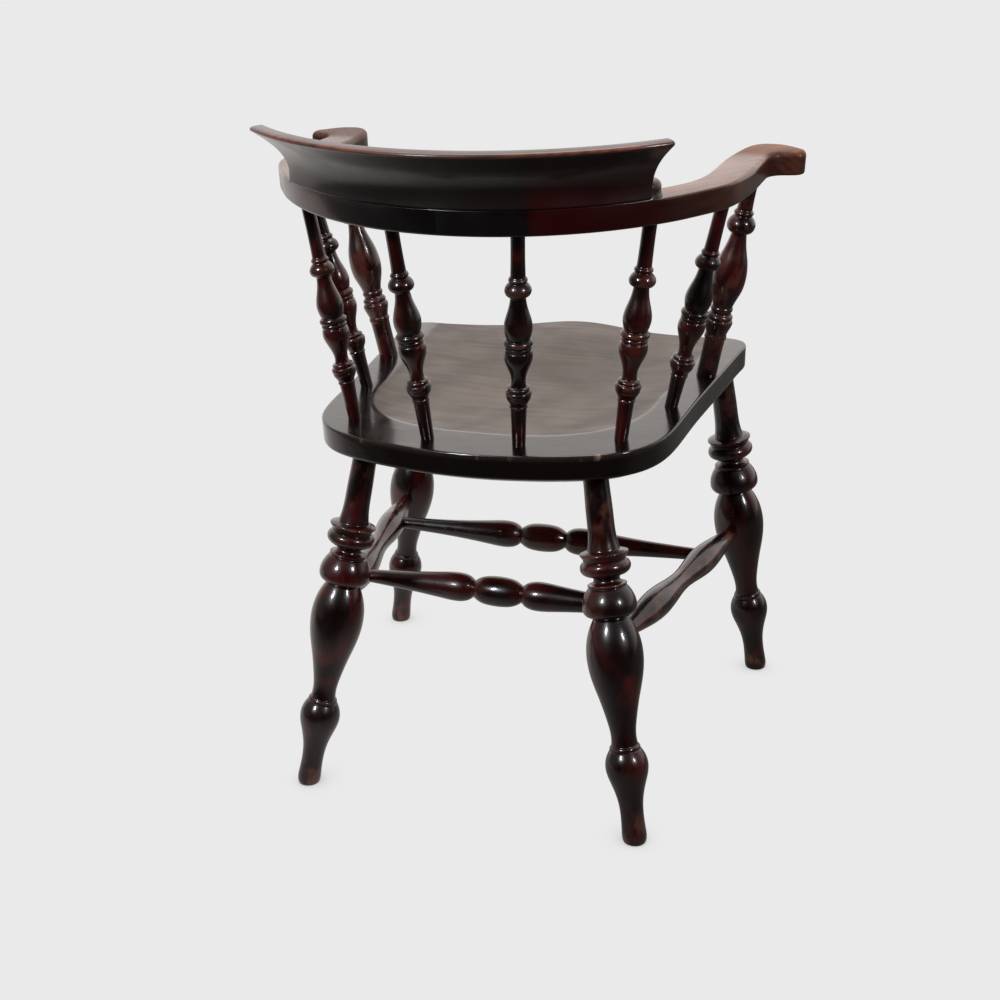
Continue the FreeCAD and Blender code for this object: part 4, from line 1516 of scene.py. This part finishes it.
@dataclass
class Crest:
    """The thick crest on the back of the bow, with a hollow back, a lip and a nose at each end."""

    base: float = 25.1
    height: float = 60.9
    centre_y: float = -64.0
    half_angle: float = 42.7
    lip: float = 322.5
    top_inner: float = 308.0
    foot_outer: float = 285.0
    foot_inner: float = 251.0
    nose_height: float = 15.5
    nose_reach: float = 18.5
    end_round: float = 1.1
    nose_sides: int = 48
    grain_place: float = 1777.0

    def profile(self) -> np.ndarray:
        """Draw the section, up the back and down the front.

        Returns:
            The closed section as (radius, height).
        """
        foot, top, lip = self.base, self.base + self.height, self.lip
        curves = (
            (
                (self.foot_outer, foot), (self.foot_outer - 0.7, foot + 10),
                (self.foot_outer + 0.4, foot + 18), (289.6, foot + 27), (308.8, top - 14.5),
                (lip - 1.4, top - 5.6),
            ),
            (
                (lip - 1.4, top - 5.6), (lip, top - 4.3), (lip - 0.7, top - 2.4),
                (lip - 3.2, top - 1.2), (lip - 8.0, top - 0.8), (self.top_inner, top - 0.8),
            ),
            (
                (self.top_inner, top - 0.8), (286.0, foot + 36.4), (264.6, foot + 17.6),
                (self.foot_inner + 3, foot + 7.5), (self.foot_inner, foot),
            ),
            ((self.foot_inner, foot), (self.foot_outer, foot)),
        )
        line = np.vstack([spline(np.array(curve), 0.9)[:-1] for curve in curves])
        for _ in range(2):
            line = 0.5 * line + 0.25 * (np.roll(line, 1, 0) + np.roll(line, -1, 0))
        return line

    def on_bow(self, radius: np.ndarray, angle: np.ndarray, height: np.ndarray) -> np.ndarray:
        """Return plan positions at a radius and at an angle from the middle of the back."""
        turn = np.radians(90.0 + angle)
        return np.stack([radius * np.cos(turn), self.centre_y + radius * np.sin(turn), height], -1)

    def body(self) -> MeshData:
        """Sweep the section along the bow and round its ends softly.

        Returns:
            The body, with its wear and painted highlight, its red glow and its painted crease shade
            as values.
        """
        line = self.profile()
        run = np.roll(line, -1, 0) - np.roll(line, 1, 0)
        inward = np.stack([-run[:, 1], run[:, 0]], 1) / np.linalg.norm(run, axis=1)[:, None]
        soft = math.degrees(self.end_round / self.lip)
        edge = soft * (1 - np.cos(np.linspace(0, math.pi / 2, 7)))
        half = self.half_angle
        middle = np.linspace(-half + soft, half - soft, 150)[1:-1]
        angles = np.concatenate([-half + edge, middle, half - edge[::-1]])
        inset = rounding(self.end_round, (half - np.abs(angles)) / soft * self.end_round)
        radius = line[None, :, 0] + inward[None, :, 0] * inset[:, None]
        height = line[None, :, 1] + inward[None, :, 1] * inset[:, None]
        plan = self.on_bow(radius, np.repeat(angles[:, None], len(line), 1), height)
        rows, columns = plan.shape[:2]
        faces = grid_faces(rows, columns, wrap=True)
        last = (rows - 1) * columns
        for low in range(columns // 2):
            high = columns - 1 - low
            strip = (low, (high + 1) % columns, high, low + 1)
            faces.append(strip)
            faces.append(tuple(last + index for index in reversed(strip)))
        flat = plan.reshape(-1, 3)
        share = ((height - self.base) / self.height).ravel()
        turned = np.repeat(np.abs(angles), columns) / half
        out = radius.ravel()
        # Lighter along the lip, more towards the ends, and a little on the top: partly real wear,
        # partly a painted highlight on the lip and a painted sheen on the top.
        lip = smoothstep(self.lip - 5.0, self.lip - 2.0, out) * smoothstep(0.88, 0.92, share)
        top_wear_and_sheen = 0.15 * smoothstep(0.90, 0.99, share)
        on_back = smoothstep(0.74, 0.60, share) * (out > 268.0)
        values = {
            "wear_and_sheen": np.clip(lip * (0.30 + 0.7 * turned) + top_wear_and_sheen, 0, 1),
            "glow": on_back * smoothstep(-76.0, -98.0, flat[:, 0]),
            "bare": np.zeros(len(flat)),
            # Painted shade in the crease where the crest sits on the arms.
            "crease_shade": smoothstep(0.05, 0.0, share) * 0.8,
        }
        return MeshData(flat, faces, self.grain(flat), values)

    def grain(self, points: np.ndarray) -> np.ndarray:
        """Return the grain coordinates of the crest, whose fibres run across the chair."""
        return points[:, (1, 2, 0)] + self.grain_place

    def nose(self, angle: float) -> MeshData:
        """Turn the low rounded nose at one end.

        Args:
            angle: place of the nose, in degrees from the middle of the back.

        Returns:
            The nose, with its wear and its painted crease shade as values.
        """
        reach, top, sides = self.nose_reach, self.base + self.nose_height, self.nose_sides
        shoulder = (
            (reach, self.base), (reach - 1.5, self.base + 5), (reach - 1.5, top - 6),
            (reach - 5, top - 1), (reach - 9, top),
        )
        line = np.vstack([spline(np.array(shoulder), 0.8), [[reach - 12, top], [1.0, top]]])
        turn = np.linspace(0, 2 * math.pi, sides + 1)[:-1]
        around = np.stack([np.cos(turn), np.sin(turn)], 1)
        centre = self.on_bow(np.array(self.foot_outer - reach), np.array(angle), np.array(0.0))
        rings = [
            np.column_stack([radius * around, np.full(sides, height)]) for radius, height in line
        ]
        flat = np.vstack(rings) + centre
        faces = grid_faces(len(rings), sides, wrap=True)
        faces.append(tuple((len(rings) - 1) * sides + index for index in range(sides)))
        faces.append(tuple(range(sides - 1, -1, -1)))
        zero = np.zeros(len(flat))
        share = (flat[:, 2] - self.base) / self.nose_height
        # Painted shade in the crease where the nose sits on the arm.
        crease_shade = smoothstep(0.15, 0.0, share) * 0.9
        values = {"wear_and_sheen": 0.25 * share, "glow": zero, "bare": zero, "crease_shade": crease_shade}
        return MeshData(flat, faces, self.grain(flat), values)

    def build(self, finishes: Finishes) -> None:
        """Show the crest.

        Args:
            finishes: the materials of the chair.
        """
        data = self.body().joined(self.nose(self.half_angle)).joined(self.nose(-self.half_angle))
        data.vertices = BOW_BOARD.place(data.vertices)
        Piece("crest", Slot.CREST, finishes.crest).show(data)


class DowelRow(NodeLine):
    """Repeats one dowel on both sides of the back's middle, at even steps of angle."""

    def __init__(self) -> None:
        """Build the group: points on an arc, a cylinder on each, real geometry, material."""
        inputs = {"Count": "NodeSocketInt", "Material": "NodeSocketMaterial"}
        lengths = ("Arc Radius", "Step Angle", "Dowel Radius", "Length")
        super().__init__("dowel row", inputs | dict.fromkeys(lengths, "NodeSocketFloat"))
        entry = self.entry.outputs
        points = self.add("GeometryNodePoints")
        index = self.add("GeometryNodeInputIndex")
        middle = self.calc("MULTIPLY", self.calc("SUBTRACT", entry["Count"], 1.0), 0.5)
        steps = self.calc("SUBTRACT", index.outputs[0], middle)
        angle = self.calc("MULTIPLY", steps, entry["Step Angle"])
        place = self.add("ShaderNodeCombineXYZ")
        for axis, operation in enumerate(("SINE", "COSINE")):
            along = self.calc("MULTIPLY", self.calc(operation, angle), entry["Arc Radius"])
            self.link(along, place.inputs[axis])
        rod = self.add("GeometryNodeMeshCylinder", fill_type="NGON")
        rod.inputs["Vertices"].default_value = 24
        copies = self.add("GeometryNodeInstanceOnPoints")
        self.link(entry["Count"], points.inputs["Count"])
        self.link(place.outputs[0], points.inputs["Position"])
        self.link(entry["Dowel Radius"], rod.inputs["Radius"])
        self.link(entry["Length"], rod.inputs["Depth"])
        self.link(points.outputs[0], copies.inputs["Points"])
        self.link(rod.outputs["Mesh"], copies.inputs["Instance"])
        self.finish(copies.outputs[0])


@dataclass
class Dowels:
    """The hidden pins between the crest and the arms."""

    count: int = 6
    radius: float = 4.75
    arc_radius: float = 270.0
    step_angle: float = 14.4
    low: float = 5.0
    length: float = 36.0
    centre_y: float = -64.0

    def build(self, finishes: Finishes) -> None:
        """Show the dowels.

        Args:
            finishes: the materials of the chair.
        """
        values = {
            "Count": self.count, "Arc Radius": self.arc_radius, "Dowel Radius": self.radius,
            "Step Angle": math.radians(self.step_angle), "Length": self.length,
            "Material": finishes.dowel,
        }
        vertices, faces = DowelRow().bake(bpy.data.meshes.new("seed"), values)
        vertices += np.array([0.0, self.centre_y, self.low + 0.5 * self.length])
        data = MeshData(BOW_BOARD.place(vertices), faces, vertices)
        Piece("crest_dowels", Slot.DOWEL, finishes.dowel).show(data)


# Studio
@dataclass(frozen=True)
class PhotoCamera:
    """The camera of the photograph, in the drawing frame."""

    place: Triple = (-501.456, 1472.943, 946.934)
    azimuth: float = 203.072
    elevation: float = 28.4618
    roll: float = -3.3155
    focal_px: float = 1361.5689
    centre_px: tuple[float, float] = (430.449, 653.729)
    size_px: float = 1000.0
    sensor: float = 36.0

    def build(self) -> None:
        """Make the camera and let the scene use it."""
        angles = (self.azimuth, self.elevation, self.roll)
        turn, rise, roll = (math.radians(value) for value in angles)
        level = math.cos(rise)
        back = Vector((math.sin(turn) * level, -math.cos(turn) * level, math.sin(rise)))
        right = Vector((0, 0, 1)).cross(back).normalized()
        up = back.cross(right)
        rolled_right = right * math.cos(roll) + up * math.sin(roll)
        rolled_up = up * math.cos(roll) - right * math.sin(roll)
        lens = bpy.data.cameras.new("photo camera")
        lens.sensor_width = self.sensor
        lens.lens = self.focal_px / self.size_px * self.sensor
        lens.shift_x = (0.5 * self.size_px - self.centre_px[0]) / self.size_px
        lens.shift_y = (self.centre_px[1] - 0.5 * self.size_px) / self.size_px
        lens.clip_start = 0.05
        lens.clip_end = 50.0
        camera = bpy.data.objects.new("photo camera", lens)
        matrix = Matrix((rolled_right, rolled_up, back)).transposed().to_4x4()
        matrix.translation = Vector(FRAME.world(self.place))
        camera.matrix_world = matrix
        bpy.context.scene.collection.objects.link(camera)
        bpy.context.scene.camera = camera


@dataclass(frozen=True)
class SoftBox:
    """One rectangular studio light that looks at a target."""

    name: str
    place: Triple
    size: tuple[float, float]
    power: float
    colour: Colour = (1.0, 1.0, 1.0)
    target: Triple = (0.0, 0.0, 0.45)

    def build(self) -> None:
        """Hang the light."""
        lamp = bpy.data.lights.new(self.name, "AREA")
        lamp.shape = "RECTANGLE"
        lamp.size, lamp.size_y = self.size
        lamp.energy = self.power
        lamp.color = self.colour
        box = bpy.data.objects.new(self.name, lamp)
        box.location = self.place
        run = Vector(self.target) - Vector(self.place)
        box.rotation_euler = run.to_track_quat("-Z", "Y").to_euler()
        bpy.context.scene.collection.objects.link(box)


@dataclass(frozen=True)
class Studio:
    """Pale floor, dim room, and soft lights."""

    backdrop: float = 0.823
    room_tint: Colour = (1.0, 0.95, 0.915)
    room_back: float = 0.008
    room_front: float = 1.2
    room_left: float = 0.30
    room_top: float = 0.24
    floor_dark: float = 0.08
    floor_light: float = 0.80
    floor_size: float = 14.0
    shadow_reach: float = 0.05

    def world(self) -> None:
        """Make the room: the backdrop for the camera, and a pale wall ahead of the chair.

        Behind the camera the room is dark, so that surfaces which face it stay dark.
        """
        world = bpy.data.worlds.new("room")
        world.use_nodes = True
        bpy.context.scene.world = world
        wiring = Wiring(world.node_tree)
        wiring.tree.nodes.clear()
        axes = wiring.axes(wiring.add("ShaderNodeTexCoord").outputs["Generated"])
        front = wiring.span(axes["Y"], 0.05, -0.75, self.room_back, self.room_front)
        left = wiring.span(axes["X"], 0.45, 0.95, 0.0, self.room_left)
        above = wiring.span(axes["Z"], 0.35, 0.95, 0.0, self.room_top)
        total = wiring.calc("ADD", wiring.calc("ADD", front, left), above)
        dome, plain = (wiring.add("ShaderNodeBackground") for _ in range(2))
        wiring.feed(dome.inputs[0], self.room_tint)
        wiring.link(total, dome.inputs["Strength"])
        wiring.feed(plain.inputs[0], (self.backdrop,) * 3)
        path = wiring.add("ShaderNodeLightPath")
        mixed = wiring.add("ShaderNodeMixShader")
        out = wiring.add("ShaderNodeOutputWorld")
        wiring.link(path.outputs["Is Camera Ray"], mixed.inputs[0])
        wiring.link(dome.outputs[0], mixed.inputs[1])
        wiring.link(plain.outputs[0], mixed.inputs[2])
        wiring.link(mixed.outputs[0], out.inputs["Surface"])

    def floor(self) -> None:
        """Lay the floor.

        The camera sees the backdrop's tone with a faint painted contact shadow at the feet. The
        polish sees a floor that is lit near the chair and to its left, and dark towards the camera.
        """
        half = 0.5 * self.floor_size
        mesh = bpy.data.meshes.new("floor")
        corners = [(-half, -half, 0), (half, -half, 0), (half, half, 0), (-half, half, 0)]
        mesh.from_pydata(corners, [], [(0, 1, 2, 3)])
        shade = Shade("floor")
        shade.polish((0.008, 0.008, 0.008), 0.9, 0.0, 0.5)
        axes = shade.axes(shade.add("ShaderNodeTexCoord").outputs["Object"])
        near_chair = shade.span(axes["Y"], 0.80, 0.20)
        to_left = shade.span(axes["X"], -0.6, 0.8, self.floor_dark, self.floor_light)
        bounce = shade.calc("MULTIPLY", near_chair, to_left)
        shade.feed(shade.surface.inputs["Emission Color"], self.room_tint)
        shade.feed(shade.surface.inputs["Emission Strength"], bounce)
        # Painted contact shadow: the backdrop tone darkened by ambient occlusion near the feet.
        contact_shadow = shade.add("ShaderNodeAmbientOcclusion", samples=12)
        contact_shadow.inputs["Distance"].default_value = self.shadow_reach
        tone = shade.span(contact_shadow.outputs["AO"], 0.25, 0.95, 0.62 * self.backdrop, self.backdrop)
        glow = shade.add("ShaderNodeEmission")
        shade.link(tone, glow.inputs["Strength"])
        path = shade.add("ShaderNodeLightPath")
        mixed = shade.add("ShaderNodeMixShader")
        shade.link(path.outputs["Is Camera Ray"], mixed.inputs[0])
        shade.link(shade.surface.outputs[0], mixed.inputs[1])
        shade.link(glow.outputs[0], mixed.inputs[2])
        shade.link(mixed.outputs[0], shade.out.inputs["Surface"])
        mesh.materials.append(shade.material)
        floor = bpy.data.objects.new("floor", mesh)
        floor.location = (0.0, 0.0, -0.0004)
        bpy.context.scene.collection.objects.link(floor)

    def build(self) -> None:
        """Set up the room, the floor and the lights."""
        self.world()
        self.floor()
        lights = (
            SoftBox("window left", (1.1, 2.6, 2.5), (0.32, 0.62), 95.0, (0.90, 0.96, 1.0)),
            SoftBox("window right", (-2.6, 1.2, 2.0), (0.28, 0.55), 42.0, (0.97, 0.98, 1.0)),
            SoftBox("ceiling", (0.3, -0.7, 3.0), (1.8, 1.2), 34.0, (1.0, 0.98, 0.95)),
        )
        for light in lights:
            light.build()


def main() -> None:
    """Build the chair's looks, one sub-assembly after another."""
    logging.basicConfig(level=logging.INFO, format="%(message)s")
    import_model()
    bpy.context.scene.view_settings.view_transform = "Standard"
    lathe = Lathe()
    finishes = Finishes.build()
    legs = LegSet()
    legs.build(lathe, finishes)
    LOG.info("legs turned")
    StretcherSet(legs).build(lathe, finishes)
    LOG.info("stretchers turned")
    UprightSet().build(lathe, finishes)
    LOG.info("spindles and posts turned")
    Seat().build(finishes)
    LOG.info("seat shaped")
    for side in Side:
        Arm(side).build(finishes)
    Crest().build(finishes)
    Dowels().build(finishes)
    LOG.info("bow shaped")
    Studio().build()
    PhotoCamera().build()


if __name__ == "__main__":
    main()
